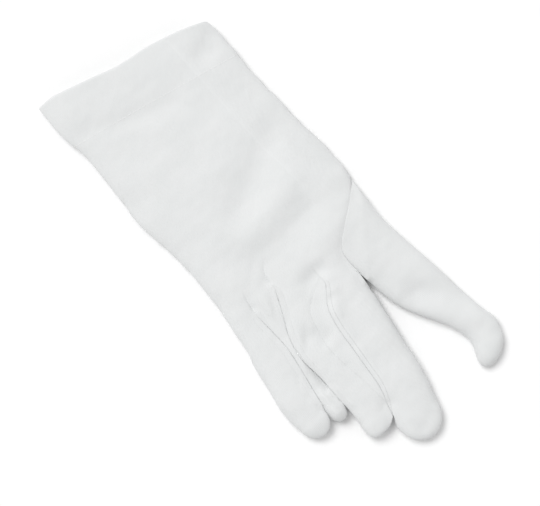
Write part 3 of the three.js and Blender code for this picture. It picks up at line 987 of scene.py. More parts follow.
class SeamFinder:
    """Walks over the cloth from its seams."""

    LIMIT = 14.0  # how far from a seam the walk goes, in millimetres

    def __init__(self, skin: Skin) -> None:
        """Keeps the skin.

        Args:
            skin: the joined outer face.
        """
        self.skin = skin

    def walk(self) -> np.ndarray:
        """The distance over the cloth from each point to its nearest seam.

        Returns:
            The distances in metres, the limit where none is nearer.
        """
        points = self.skin.points
        joined, _ = self.skin.triangles(self.skin.patches)
        edges = np.concatenate([joined[:, [0, 1]], joined[:, [1, 2]], joined[:, [2, 0]]])
        edges = np.unique(np.sort(edges, axis=1), axis=0)
        both = np.concatenate([edges, edges[:, ::-1]])
        both = both[np.argsort(both[:, 0], kind="stable")]
        length = np.linalg.norm(points[both[:, 0]] - points[both[:, 1]], axis=1).tolist()
        first = np.searchsorted(both[:, 0], np.arange(len(points) + 1)).tolist()
        target = both[:, 1].tolist()
        distance = [self.LIMIT * MM] * len(points)
        queue = []
        for index in np.unique(self.skin.seam_edges()).tolist():
            distance[index] = 0.0
            queue.append((0.0, index))
        heapq.heapify(queue)
        while queue:
            far, index = heapq.heappop(queue)
            if far > distance[index]:
                continue
            for k in range(first[index], first[index + 1]):
                reached = far + length[k]
                if reached < distance[target[k]]:
                    distance[target[k]] = reached
                    heapq.heappush(queue, (reached, target[k]))
        return np.array(distance)


@dataclass(frozen=True)
class Ripples:
    """Soft random waves: a sum of plane waves of one rough length, from -1 to 1 or a little past it."""

    length: float  # millimetres
    seed: int
    count: int = 28
    spread: float = 0.45  # how far their lengths differ from the rough one, as a share of it

    def __call__(self, points: np.ndarray) -> np.ndarray:
        """Adds up the waves.

        Args:
            points: places in millimetres, in any number of dimensions.

        Returns:
            The waves' height at each.
        """
        random = np.random.default_rng(self.seed)
        direction = unit(random.normal(size=(self.count, points.shape[-1])))
        scale = 2 * math.pi / (self.length * random.uniform(1 - self.spread, 1 + self.spread, self.count))
        phase = random.uniform(0, 2 * math.pi, self.count)
        total = np.zeros(points.shape[:-1])
        for way, size, shift in zip(direction, scale, phase):
            total += np.sin(points @ (way * size) + shift)
        return total / math.sqrt(self.count)


@dataclass(frozen=True)
class Fold:
    """A soft fold of the back along a bent line in plan: a ridge has a positive height, in millimetres."""

    name: str
    path: tuple[tuple[float, float], ...]
    width: float
    height: float
    fade: float = 0.25  # share of its length over which it dies out at each end

    def lift(self, x: np.ndarray, a: np.ndarray) -> np.ndarray:
        """How far the fold lifts the cloth.

        Args:
            x: places across the glove.
            a: places along it.

        Returns:
            The heights in millimetres.
        """
        way = np.array(self.path, float)
        parts = np.linalg.norm(np.diff(way, axis=0), axis=1)
        passed = running(parts)
        best = np.full(x.shape, np.inf)
        where = np.zeros(x.shape)
        for k, part in enumerate(parts):
            (x1, a1), (x2, a2) = way[k], way[k + 1]
            along = np.clip(((x - x1) * (x2 - x1) + (a - a1) * (a2 - a1)) / part**2, 0, 1)
            off = np.hypot(x - x1 - along * (x2 - x1), a - a1 - along * (a2 - a1))
            nearer = off < best
            best = np.where(nearer, off, best)
            where = np.where(nearer, (passed[k] + along * part) / passed[-1], where)
        ends = smooth(where / self.fade) * smooth((1 - where) / self.fade) if self.fade > 0 else 1.0
        return self.height * np.exp(-((best / self.width) ** 2)) * ends


BACK_FOLDS = (
    Fold("hem line", ((-46, 13), (-30, 19), (-16, 24), (2, 30), (20, 34)), width=6, height=-1.3),
    Fold("cuff corner dent", ((50, 11), (41, 19), (30, 22)), width=6, height=-1.3),
    Fold("first valley", ((56, 76), (42, 74), (32, 79), (18, 87), (4, 96), (-10, 102)), width=9, height=-2.4),
    Fold("back ridge", ((48, 94), (30, 101), (12, 106), (-6, 110), (-16, 112)), width=7, height=1.0),
    Fold("second valley", ((46, 113), (28, 119), (12, 122), (-6, 124), (-20, 130)), width=7, height=-1.5),
    Fold("thumb ridge", ((50, 124), (38, 133), (22, 137), (2, 138)), width=6.5, height=1.0),
    Fold("side crease", ((47, 76), (49, 88), (52, 99), (57, 108), (59, 115)), width=3.5, height=-1.2),
    Fold("thumb valley", ((44, 177), (55, 187), (66, 196), (80, 208)), width=7.5, height=-2.5),
    Fold("middle finger dent", ((-11, 168), (-3, 173), (5, 179)), width=5.5, height=-1.6),
    Fold("index tip dent", ((8, 242), (16, 242), (26, 239)), width=4, height=-0.9),
    Fold("crotch crease", ((4, 151), (11, 147), (19, 145.5), (27, 148)), width=4.2, height=-1.3, fade=0.35),
    Fold("crotch puff", ((18.6, 152.5), (17.5, 157)), width=4.2, height=1.5, fade=0),
    Fold("crotch ridge", ((18.8, 149), (17, 158), (15, 168), (14, 178)), width=5.5, height=1.1, fade=0.5),
)
# Where the cloth of two fingers props itself up, before the grooves between them close
PROPS = (
    Fold("middle beside index", ((15, 158), (9.6, 172), (8.8, 190), (8.2, 208), (5, 225)), 5, 2.4, fade=0.15),
    Fold("ring root", ((-12, 130), (-14, 150), (-15.5, 162), (-16.5, 178)), width=6.5, height=1.6, fade=0.4),
    Fold("ring back", ((-16.5, 166), (-17, 180), (-17.5, 196)), width=4.5, height=1.6, fade=0.4),
    Fold("ring fingertip", ((-18, 200), (-17.6, 210)), width=5, height=3.0, fade=0),
)
# Where two edges of cloth lie level beside each other. The height is the share of the groove that closes.
LEVEL_LINES = (
    Fold("little root", ((-22, 140), (-20, 155), (-18.8, 170), (-19, 176)), width=5, height=1.2, fade=0.15),
    Fold("middle root", ((-3.5, 134), (-5.4, 141), (-9.6, 152), (-14.2, 164), (-16, 173)), 5, 1.2, fade=0.12),
    Fold("little beside ring", ((-18.8, 168), (-19.2, 180), (-20.6, 192), (-21.4, 205)), 3, 1.1, fade=0.1),
    Fold("middle beside ring", ((-15, 168), (-15.8, 177), (-13.8, 190), (-12.6, 203)), 3, 0.6, fade=0.1),
    Fold("middle beside ring's tip", ((-13, 196), (-12.5, 204), (-12.4, 212)), 3, 1.2, fade=0.3),
    Fold(
        "index beside middle",
        ((20, 128), (17.4, 153), (10.9, 164), (8.9, 175), (8.4, 200), (3, 240)),
        width=5,
        height=1.2,
        fade=0.1,
    ),
    Fold(
        "thumb seam",
        ((58, 119), (53, 126), (43.5, 134.2), (35.5, 143), (34.2, 150), (35.3, 168)),
        width=6,
        height=1.2,
        fade=0.08,
    ),
)


@dataclass
class Layers:
    """Heights over a grid, of the cloth on top and the cloth hidden under it, before and after they rise."""

    low: np.ndarray
    high: np.ndarray
    new_low: np.ndarray
    new_high: np.ndarray

    THIN = 1e-6  # a layer has at least this height, in millimetres

    def raised(self, i: np.ndarray, j: np.ndarray, height: np.ndarray, base: float) -> np.ndarray:
        """Moves heights as the layers rise, so that they stay in the same order.

        Args:
            i: the grid's rows to read at.
            j: its columns to read at.
            height: a height at each.
            base: heights below this stay.

        Returns:
            The new heights.
        """
        low, high, new_low, new_high = (
            part[i, j] for part in (self.low, self.high, self.new_low, self.new_high)
        )
        first = np.clip((height - base) / np.maximum(low - base, self.THIN), 0, 1)
        second = np.clip((height - low) / np.maximum(high - low, self.THIN), 0, 1)
        moved = np.minimum(height, base) + first * (new_low - base) + second * (new_high - new_low)
        return np.maximum(height, moved)


class Levelling:
    """Raises narrow grooves between edges of cloth that lie level beside each other. Sizes in millimetres."""

    STEP = 0.3  # of the grid of heights
    REACH = 4.0  # grooves up to twice as wide are filled
    SLIT = 0.6  # slits up to twice as wide through which the floor shows count as cloth
    SOFT = 6  # how many times the level is smoothed over its neighbours
    BASE = 3.0  # cloth that lies lower than this stays
    ABOVE = 40.0  # a height over the whole glove
    CLEAR = 0.12  # between cloth that lies on other cloth
    FALL = 1.0  # how steeply the hidden cloth falls in from an edge
    SHARP = 4.0  # a groove deeper than one part in so many of a millimetre is filled from its bottom
    DEEPER = 0.4  # how far a sharp groove's bottom may lie under what the grid shows of it
    LEAST_SHARE = 0.01  # where less of the groove closes, a point stays
    BESIDE = 2  # how many cells from an edge the cloth beside it is looked for

    def __init__(self, skin: Skin, points: np.ndarray) -> None:
        """Prepares to look at the glove's back from above.

        Args:
            skin: the joined outer face.
            points: where its points are now.
        """
        self.points = points
        joined, _ = skin.triangles([patch for patch in skin.patches if patch.face is Face.BACK])
        self.tree = BVHTree.FromPolygons(points.tolist(), joined.tolist(), all_triangles=True)
        self.near = np.flatnonzero(self.share(points) > self.LEAST_SHARE)
        plan = points[self.near, :2]
        self.low = plan.min(axis=0) - 2 * self.REACH
        self.count = np.ceil((plan.max(axis=0) + 2 * self.REACH - self.low) / self.STEP).astype(int) + 1

    @staticmethod
    def share(points: np.ndarray) -> np.ndarray:
        """How much of a groove closes.

        Args:
            points: places in the row frame, in millimetres.

        Returns:
            The share at each, from 0 to 1.
        """
        x = points[..., 0] + ORIGIN_X
        a = ORIGIN_A - points[..., 1]
        return np.clip(sum(line.lift(x, a) for line in LEVEL_LINES), 0, 1)

    def _look(self, plan: np.ndarray) -> np.ndarray:
        """Looks down at the cloth.

        Args:
            plan: the grid's places.

        Returns:
            The heights of the first and the second layer of cloth at each, 0 where there is none.
        """
        down = Vector((0.0, 0.0, -1.0))
        found = []
        for x, y in plan.reshape(-1, 2).tolist():
            start = self.ABOVE
            for _ in range(2):
                hit = self.tree.ray_cast(Vector((x, y, start)), down)[0]
                found.append(0.0 if hit is None else hit.z)
                start = found[-1] - self.CLEAR
        return np.array(found).reshape(*self.count, 2)

    @staticmethod
    def _pick(heights: np.ndarray, cells: int, choose: np.ufunc) -> np.ndarray:
        """The highest or lowest value in a round window about each cell.

        Args:
            heights: the grid.
            cells: the window's radius.
            choose: np.maximum or np.minimum.

        Returns:
            A grid of the same size.
        """
        rows, columns = heights.shape
        wide = np.pad(heights, cells, mode="edge")
        best = heights
        for i in range(-cells, cells + 1):
            side = int(math.sqrt(cells * cells - i * i))
            for j in range(-side, side + 1):
                best = choose(best, wide[cells + i : cells + i + rows, cells + j : cells + j + columns])
        return best

    def _close(self, heights: np.ndarray, reach: float) -> np.ndarray:
        """Fills what is narrower than twice the reach, and leaves everything else."""
        cells = round(reach / self.STEP)
        return self._pick(self._pick(heights, cells, np.maximum), cells, np.minimum)

    def _soften(self, heights: np.ndarray) -> np.ndarray:
        """Smooths heights over their neighbours.

        Args:
            heights: the grid.

        Returns:
            The smoother grid.
        """
        for _ in range(self.SOFT):
            wide = np.pad(heights, 1, mode="edge")
            around = wide[:-2, 1:-1] + wide[2:, 1:-1] + wide[1:-1, :-2] + wide[1:-1, 2:]
            heights = (around + 2 * heights) / 6  # a cell weighs as much as two of its four neighbours
        return heights

    def _layers(self) -> Layers:
        """Looks at the cloth from above, and finds how each layer rises.

        Returns:
            The layers.
        """
        xs, ys = (self.low[k] + np.arange(self.count[k]) * self.STEP for k in (0, 1))
        plan = np.stack(np.meshgrid(xs, ys, indexing="ij"), axis=-1)
        seen, under = np.moveaxis(self._look(plan), -1, 0)
        share = self.share(plan)
        top = np.where(seen > self.BASE, seen, self._close(seen, self.SLIT))
        level = self._soften(self._close(top, self.REACH))
        rise = np.where(top > self.BASE, np.maximum(level - top, 0), 0) * share
        hidden = under > self.BASE
        edge = self._pick(np.where(hidden, top, 0), self.BESIDE, np.maximum)
        beneath = self._pick(np.where(hidden, under, 0), self.BESIDE, np.maximum)
        # Cloth that shows beside an edge and goes on under it
        beside = ~hidden & (beneath > 0) & (np.abs(top - beneath) < np.abs(top - edge))
        low = np.where(hidden, under, np.where(beside, top, self.BASE))
        bottom = lerp(top, self._pick(top, 1, np.minimum) - self.DEEPER, np.clip(rise * self.SHARP, 0, 1))
        plain = np.maximum(np.where(hidden, top, bottom), self.BASE + self.CLEAR)
        high = np.where(beside, np.maximum(edge, top + self.CLEAR), plain)
        new_low = low + np.where(beside, rise, 0)
        slope = np.where(beside & (rise > self.CLEAR), new_low, 0)
        for _ in range(round(self.REACH / self.STEP)):
            spread = self._pick(slope, 1, np.maximum) - self.FALL * self.STEP
            slope = np.where(hidden, np.maximum(slope, spread), slope)
        new_low = np.maximum(new_low, np.where(hidden, slope, 0))
        new_high = np.where(beside, high + np.maximum(level - high, 0) * share, top + rise)
        gap = np.minimum(self.CLEAR, (high - low) / 2)
        new_low = np.where(hidden, np.minimum(new_low, new_high - gap), new_low)
        new_high = np.maximum(new_high, new_low + gap)
        return Layers(low, high, new_low, new_high)

    def heights(self) -> np.ndarray:
        """Raises the grooves.

        Returns:
            The points' new heights.
        """
        layers = self._layers()
        at = (self.points[self.near, :2] - self.low) / self.STEP
        cell = np.minimum(at.astype(int), self.count - 2)
        w = at - cell
        own = self.points[self.near, 2]
        total = np.zeros_like(own)
        for i in (0, 1):
            for j in (0, 1):
                part = np.abs(1 - i - w[:, 0]) * np.abs(1 - j - w[:, 1])
                total += part * layers.raised(cell[:, 0] + i, cell[:, 1] + j, own, self.BASE)
        result = self.points[:, 2].copy()
        result[self.near] = total
        return result


@dataclass(frozen=True)
class Relief:
    """What the smooth form lacks: folds, waves, and the seams' grooves and puckers. Sizes in millimetres."""

    props: tuple[Fold, ...] = PROPS
    folds: tuple[Fold, ...] = BACK_FOLDS
    fold_height: float = 4.0  # a fold starts at this height over the floor, and is whole at twice of it
    level_seams: float = 0.8  # how much weaker a seam's groove is where the cloth is levelled
    room_share: float = 0.2  # the most of a thin edge that a groove takes away
    press_share: float = 0.99  # how much of the gap between index and middle finger closes
    press_reach: float = 2.0
    press_samples: int = 200  # how many places along the fingers the gap's middle is read at
    press_start: float = 3.0  # the length over which it starts to close at the fingers' roots
    press_end: float = 6.0  # the length over which it opens at their tips
    groove_depth: float = 0.15
    groove_width: float = 1.1
    pucker_depth: float = 0.28
    pucker_reach: float = 3.2
    pucker_level: float = 0.25  # how far over half of a seam's length is puckered
    puckers: Ripples = Ripples(8.0, seed=3)
    wave_height: float = 0.22
    waves: Ripples = Ripples(26.0, seed=5)
    ripple_height: float = 0.07
    ripples: Ripples = Ripples(9.0, seed=7)
    palm_height: float = 0.7  # how far the palm's waves lift it off the floor
    palm_waves: Ripples = Ripples(21.0, seed=11)
    palm_rise: float = 0.1  # how far up the cloth may face where the palm's waves start
    palm_turn: float = 0.8  # how much further down it faces where they are whole
    floor_gap: float = 0.02

    def apply(self, skin: Skin, from_seams: np.ndarray) -> np.ndarray:
        """The skin's points with the relief pressed in.

        Args:
            skin: the joined outer face.
            from_seams: how far its points are from the seams, in metres.

        Returns:
            The new points, in metres.
        """
        moved = skin.points / MM
        x = moved[:, 0] + ORIGIN_X
        a = ORIGIN_A - moved[:, 1]
        plan = moved[:, :2].copy()
        down = smooth((self.palm_rise - skin.normals(skin.points)[:, 2]) / self.palm_turn)
        high = np.clip((moved[:, 2] - self.fold_height) / self.fold_height, 0, 1)
        moved[:, 2] += high * sum(fold.lift(x, a) for fold in self.props)
        moved[:, 2] = Levelling(skin, moved).heights()
        lift = sum(fold.lift(x, a) for fold in self.folds)
        lift += self.wave_height * self.waves(plan) + self.ripple_height * self.ripples(plan)
        moved[:, 2] += lift * high
        moved[:, 2] += down * self.palm_height * np.clip(self.palm_waves(plan), 0, 1)
        normal = skin.normals(moved)
        depth = self.seam_depth(moved, from_seams / MM) * (1 - self.level_seams * Levelling.share(moved))
        moved -= normal * np.minimum(depth, self.room_share * skin.room(moved * MM, normal))[:, None]
        moved[:, 0] += self.press(moved[:, 0] + ORIGIN_X, ORIGIN_A - moved[:, 1])
        moved[:, 2] = np.maximum(moved[:, 2], self.floor_gap)
        return moved * MM

    def seam_depth(self, points: np.ndarray, distance: np.ndarray) -> np.ndarray:
        """How deep the seams' grooves and puckers are.

        Args:
            points: the skin's points, in millimetres.
            distance: how far they are from the seams, in millimetres.

        Returns:
            The depths, in millimetres.
        """
        grooves = self.groove_depth * np.exp(-((distance / self.groove_width) ** 2))
        tucks = np.maximum(0, self.puckers(points) + self.pucker_level)
        return grooves + self.pucker_depth * tucks * np.exp(-((distance / self.pucker_reach) ** 2))

    def press(self, x: np.ndarray, a: np.ndarray) -> np.ndarray:
        """How far the sides of the index and middle finger move to lie against each other.

        Args:
            x: places across the glove.
            a: places along it.

        Returns:
            The moves across the glove, in millimetres.
        """
        share = np.linspace(0, 1, self.press_samples)
        sides = [MIDDLE.right(share), INDEX.left(share)]
        line = np.mean([np.interp(a, side[:, 1], side[:, 0]) for side in sides], axis=0)
        last = max(side[-1, 1] for side in sides)
        ends = smooth((a - sides[0][0, 1]) / self.press_start) * smooth((last - a) / self.press_end)
        off = x - line
        return -off * self.press_share * np.exp(-((off / self.press_reach) ** 2)) * ends


def srgb(code: int) -> tuple[float, float, float, float]:
    """A colour in linear light.

    Args:
        code: the colour as an sRGB hex value.

    Returns:
        Its red, green, blue and alpha.
    """
    shares = [((code >> shift) & 255) / 255 for shift in (16, 8, 0)]
    linear = [s / 12.92 if s <= 0.04045 else ((s + 0.055) / 1.055) ** 2.4 for s in shares]
    return (*linear, 1.0)


def new_material(name: str) -> tuple[bpy.types.Material, bpy.types.NodeTree]:
    """Starts a material.

    Args:
        name: the finish's name.

    Returns:
        The material and its node tree, which is still empty.
    """
    material = bpy.data.materials.new(name)
    material.use_nodes = True
    material.node_tree.nodes.clear()
    return material, material.node_tree


def add_object(name: str, data: bpy.types.ID) -> bpy.types.Object:
    """Puts a mesh, a lamp or a camera into the scene.

    Args:
        name: the new object's name.
        data: what it holds.

    Returns:
        The object.
    """
    added = bpy.data.objects.new(name, data)
    bpy.context.scene.collection.objects.link(added)
    return added


def add_mesh(
    name: str, points: np.ndarray, faces: np.ndarray, material: bpy.types.Material
) -> bpy.types.Object:
    """Adds a mesh with smooth-shaded faces of one number of corners.

    Args:
        name: the new object's name.
        points: the mesh's points, in metres.
        faces: its faces, as point numbers.
        material: its finish.

    Returns:
        The object.
    """
    mesh = bpy.data.meshes.new(name)
    count, corners = faces.shape
    mesh.vertices.add(len(points))
    mesh.vertices.foreach_set("co", points.astype(np.float32).ravel())
    mesh.loops.add(count * corners)
    mesh.loops.foreach_set("vertex_index", faces.astype(np.int32).ravel())
    mesh.polygons.add(count)
    mesh.polygons.foreach_set("loop_start", np.arange(count, dtype=np.int32) * corners)
    mesh.polygons.foreach_set("use_smooth", np.ones(count, bool))
    mesh.update(calc_edges=True)
    mesh.validate()
    mesh.materials.append(material)
    return add_object(name, mesh)


def add_node(
    tree: bpy.types.NodeTree,
    kind: str,
    settings: dict[str, object] | None = None,
    values: dict[str | int, object] | None = None,
    links: dict[str | int, bpy.types.NodeSocket] | None = None,
) -> bpy.types.Node:
    """Adds a node with its settings, input values and links.

    Args:
        tree: the node tree.
        kind: the node's type name.
        settings: attributes of the node.
        values: input sockets' own values, by name or number.
        links: output sockets that feed its inputs, by name or number.

    Returns:
        The node.
    """
    node = tree.nodes.new(kind)
    for name, value in (settings or {}).items():
        setattr(node, name, value)
    for name, value in (values or {}).items():
        node.inputs[name].default_value = value
    for name, socket in (links or {}).items():
        tree.links.new(socket, node.inputs[name])
    return node


@dataclass(frozen=True)
class CottonKnit:
    """Bleached cotton interlock, a smooth double knit: matt white, with fine wales along the cloth.

    The wales are 0.8 mm apart and each loop is 0.7 mm tall, as in a fine glove cloth. Its loose fibres
    catch the light at the edges, which is the sheen, and spread the colour a little from loop to loop.
    """

    name: str = "bleached cotton interlock knit"
    colour: int = 0xE2E3E3
    shade: int = 0xDCDEDE
    roughness: float = 0.95
    sheen: float = 0.35
    wale: float = 0.8
    loop: float = 0.7
    lean: float = 0.35  # how far a loop's sides lean, in millimetres
    course: float = 0.5  # how strong the courses are beside the wales
    relief: float = 0.03  # height of the loops, in millimetres
    fibre: float = 0.45  # size of the tufts of loose fibres, coarser than the real ones so that they show
    fuzz: float = 0.03  # their height
    cloud: float = 14.0  # size of the patches in which the colour shifts a little

    def make(self) -> bpy.types.Material:
        """Builds the material.

        Returns:
            The new material, which reads the cloth's own flat coordinates.
        """
        material, tree = new_material(self.name)
        scale_and_add = {"operation": "MULTIPLY_ADD"}
        flat = add_node(tree, "ShaderNodeUVMap", {"uv_map": KNIT_UV})
        parts = add_node(tree, "ShaderNodeSeparateXYZ", links={0: flat.outputs[0]})
        place = add_node(tree, "ShaderNodeTexCoord").outputs["Object"]
        wave = self._wave(tree, parts.outputs["X"], self.wale, 0.0)
        # Each loop leans to the wale's middle, so the courses are drawn as small chevrons
        sides = {0: wave, 2: parts.outputs["Y"]}
        lean = add_node(tree, "ShaderNodeMath", scale_and_add, {1: self.lean}, sides)
        course = self._wave(tree, lean.outputs[0], self.loop, 0.5)
        loops = add_node(tree, "ShaderNodeMath", scale_and_add, {1: self.course}, {0: course, 2: wave})
        fibres = add_node(
            tree,
            "ShaderNodeTexNoise",
            values={"Scale": 1 / (self.fibre * MM), "Detail": 3.0, "Roughness": 0.6},
            links={"Vector": place},
        )
        cloud = add_node(
            tree,
            "ShaderNodeTexNoise",
            values={"Scale": 1 / (self.cloud * MM), "Detail": 2.0, "Roughness": 0.5},
            links={"Vector": place},
        )
        knit = add_node(
            tree,
            "ShaderNodeBump",
            values={"Strength": 1.0, "Distance": self.relief * MM},
            links={"Height": loops.outputs[0]},
        )
        soft = add_node(
            tree,
            "ShaderNodeBump",
            values={"Strength": 1.0, "Distance": self.fuzz * MM},
            links={"Height": fibres.outputs[0], "Normal": knit.outputs[0]},
        )
        blend = add_node(
            tree,
            "ShaderNodeMix",
            {"data_type": "RGBA"},
            {6: srgb(self.shade), 7: srgb(self.colour)},
            {0: cloud.outputs[0]},
        )
        shader = add_node(
            tree,
            "ShaderNodeBsdfPrincipled",
            values={
                "Roughness": self.roughness,
                "Sheen Weight": self.sheen,
                "Sheen Roughness": 0.6,
                "Specular IOR Level": 0.2,
            },
            links={"Base Color": blend.outputs[2], "Normal": soft.outputs[0]},
        )
        add_node(tree, "ShaderNodeOutputMaterial", links={0: shader.outputs[0]})
        return material

    @staticmethod
    def _wave(
        tree: bpy.types.NodeTree, along: bpy.types.NodeSocket, length: float, phase: float
    ) -> bpy.types.NodeSocket:
        """Adds a sine of a flat coordinate.

        Args:
            tree: the node tree.
            along: the coordinate, in millimetres.
            length: the length of a whole wave, in millimetres.
            phase: where the wave starts, in radians.

        Returns:
            The sine.
        """
        values = {1: 2 * math.pi / length, 2: phase}
        turned = add_node(tree, "ShaderNodeMath", {"operation": "MULTIPLY_ADD"}, values, {0: along})
        sine = add_node(tree, "ShaderNodeMath", {"operation": "SINE"}, links={0: turned.outputs[0]})
        return sine.outputs[0]


@dataclass(frozen=True)
class CottonThread:
    """Spun cotton sewing thread: white, a little brighter and smoother than the knit that it holds."""

    name: str = "spun cotton sewing thread"
    colour: int = 0xECECEC
    roughness: float = 0.8
    twist: float = 0.3  # size of the bumps that the twisted plies make, in millimetres
    relief: float = 0.05  # their height

    def make(self) -> bpy.types.Material:
        """Builds the material.

        Returns:
            The new material, with the thread's twist as bump.
        """
        material, tree = new_material(self.name)
        place = add_node(tree, "ShaderNodeTexCoord")
        twist = add_node(
            tree,
            "ShaderNodeTexNoise",
            values={"Scale": 1 / (self.twist * MM), "Detail": 2.0},
            links={"Vector": place.outputs["Object"]},
        )
        bump = add_node(
            tree,
            "ShaderNodeBump",
            values={"Strength": 0.8, "Distance": self.relief * MM},
            links={"Height": twist.outputs[0]},
        )
        shader = add_node(
            tree,
            "ShaderNodeBsdfPrincipled",
            values={"Base Color": srgb(self.colour), "Roughness": self.roughness, "Sheen Weight": 0.2},
            links={"Normal": bump.outputs[0]},
        )
        add_node(tree, "ShaderNodeOutputMaterial", links={0: shader.outputs[0]})
        return material


@dataclass
class Shell:
    """A layer of cloth: the matching points of its outer and inner face, and the triangles between them."""

    outer: np.ndarray
    inner: np.ndarray
    triangles: np.ndarray
    fabric: np.ndarray  # the place of each triangle's three corners in the flat cloth, in millimetres

    SEAM_SLIT = 0.004  # how far each piece stays clear of a seam's middle, in millimetres

    def trim(self) -> None:
        """Draws the borders in a little, so that two pieces that are sewn together don't overlap."""
        p, q, opposite = border_edges(self.triangles)
        along = unit(self.outer[q] - self.outer[p], TINY)
        inward = self.outer[opposite] - self.outer[p]
        inward = unit(inward - along * (inward * along).sum(axis=1, keepdims=True), TINY)
        total = np.zeros_like(self.outer)
        np.add.at(total, p, inward)
        np.add.at(total, q, inward)
        shift = unit(total, TINY) * self.SEAM_SLIT * MM
        self.outer += shift
        self.inner += shift

    def piece(self, name: str, material: bpy.types.Material) -> bpy.types.Object:
        """Closes the layer with walls along its borders.

        Args:
            name: the piece's name.
            material: its finish.

        Returns:
            The new object.
        """
        count = len(self.outer)
        p, q, _ = border_edges(self.triangles)
        walls = halves(np.stack([q, p, p + count, q + count], axis=1))
        faces = np.concatenate([self.triangles, self.triangles[:, ::-1] + count, walls])
        flat = np.zeros((count, 2))
        flat[self.triangles.ravel()] = self.fabric.reshape(-1, 2)
        places = np.concatenate([self.fabric, self.fabric[:, ::-1], flat[walls % count]])
        piece = add_mesh(name, np.concatenate([self.outer, self.inner]), faces, material)
        layer = piece.data.uv_layers.new(name=KNIT_UV)
        layer.data.foreach_set("uv", places.reshape(-1).astype(np.float32))
        return piece

    def area(self) -> float:
        """The area of the outer face, in square metres."""
        p, q, r = (self.outer[self.triangles[:, k]] for k in range(3))
        return float(np.linalg.norm(np.cross(q - p, r - p), axis=1).sum() / 2)


class ClothMaker:
    """Turns patches of the skin into layers of cloth."""

    ROOM_SHARE = 0.4  # the most of the room inside a thin edge that one layer takes up

    def __init__(self, skin: Skin, points: np.ndarray) -> None:
        """Keeps the skin and where its points ended up.

        Args:
            skin: the joined outer face.
            points: its points after folds and seams, in metres.
        """
        self.skin = skin
        self.points = points
        self.normals = skin.normals(points)
        room = skin.room(points, self.normals)
        self.thickness = np.minimum(1, room * self.ROOM_SHARE / CLOTH)

    def layer(self, patches: list[Patch], depths: tuple[float, float], rows: int | None = None) -> Shell:
        """A layer of cloth between two depths under the skin.

        Args:
            patches: the patches that it covers.
            depths: how deep its outer and inner face lie, in millimetres.
            rows: how many of the patches' first rows it covers, or None for all of them.

        Returns:
            The layer.
        """
        joined, raw = self.skin.triangles(patches, rows)
        used, local = np.unique(joined, return_inverse=True)
        inward = self.normals[used] * self.thickness[used, None] * MM
        outer, inner = (self.points[used] - inward * depth for depth in depths)
        return Shell(outer, inner, local.reshape(-1, 3), self.skin.fabric[raw])

    def panel(self, patches: list[Patch], hem: "CuffHem") -> Shell:
        """A panel of cloth with its rounded fold at the cuff's edge.

        Args:
            patches: the panel's patches, whose first rows lie at the cuff.
            hem: the hem that the fold leads to.

        Returns:
            The layer.
        """
        shell = self.layer(patches, (0.0, CLOTH))
        turns = np.linspace(math.pi, 0, hem.fold_steps + 1)[:-1]
        for patch in patches:
            edge, beyond = self.skin.owner[patch.numbers[:2]]
            normal = self.normals[edge]
            outward = self.points[edge] - self.points[beyond]
            outward = unit(outward - normal * (outward * normal).sum(axis=1, keepdims=True))
            centre = self.points[edge] - normal * hem.radius * MM
            turned = [normal * math.cos(turn) + outward * math.sin(turn) for turn in turns]
            flat = self.skin.fabric[patch.numbers[0]]
            fabric = [flat - [0, hem.radius * turn] for turn in turns]
            fold = self._strip(patch.face, [*fabric, flat])
            turned.append(normal)
            fold.outer = np.concatenate([centre + way * hem.radius * MM for way in turned])
            fold.inner = np.concatenate([centre + way * (hem.radius - CLOTH) * MM for way in turned])
            shell = join_shells(shell, fold)
        return shell

    @staticmethod
    def _strip(face: Face, fabric: list[np.ndarray]) -> Shell:
        """A grid of triangles whose points have no places yet.

        Args:
            face: the back or the palm.
            fabric: the places of each row's points in the flat cloth.

        Returns:
            The layer.
        """
        flat = np.stack(fabric)
        patch = Patch("fold", face, np.zeros((*flat.shape[:2], 3)), flat, np.zeros(flat.shape[:2]))
        triangles = halves(patch.quads())
        nothing = np.zeros((patch.count, 3))
        return Shell(nothing, nothing, triangles, flat.reshape(-1, 2)[triangles])


def join_shells(first: Shell, second: Shell) -> Shell:
    """Joins two layers of cloth where their points meet.

    Args:
        first: a layer.
        second: a layer that shares a border with it.

    Returns:
        One layer.
    """
    outer = np.concatenate([first.outer, second.outer])
    inner = np.concatenate([first.inner, second.inner])
    triangles = np.concatenate([first.triangles, second.triangles + len(first.outer)])
    keys = np.round(np.concatenate([outer, inner], axis=1) / Skin.JOIN).astype(np.int64)
    _, kept, owner = np.unique(keys, axis=0, return_index=True, return_inverse=True)
    return Shell(
        outer[kept],
        inner[kept],
        owner.ravel()[triangles],
        np.concatenate([first.fabric, second.fabric]),
    )


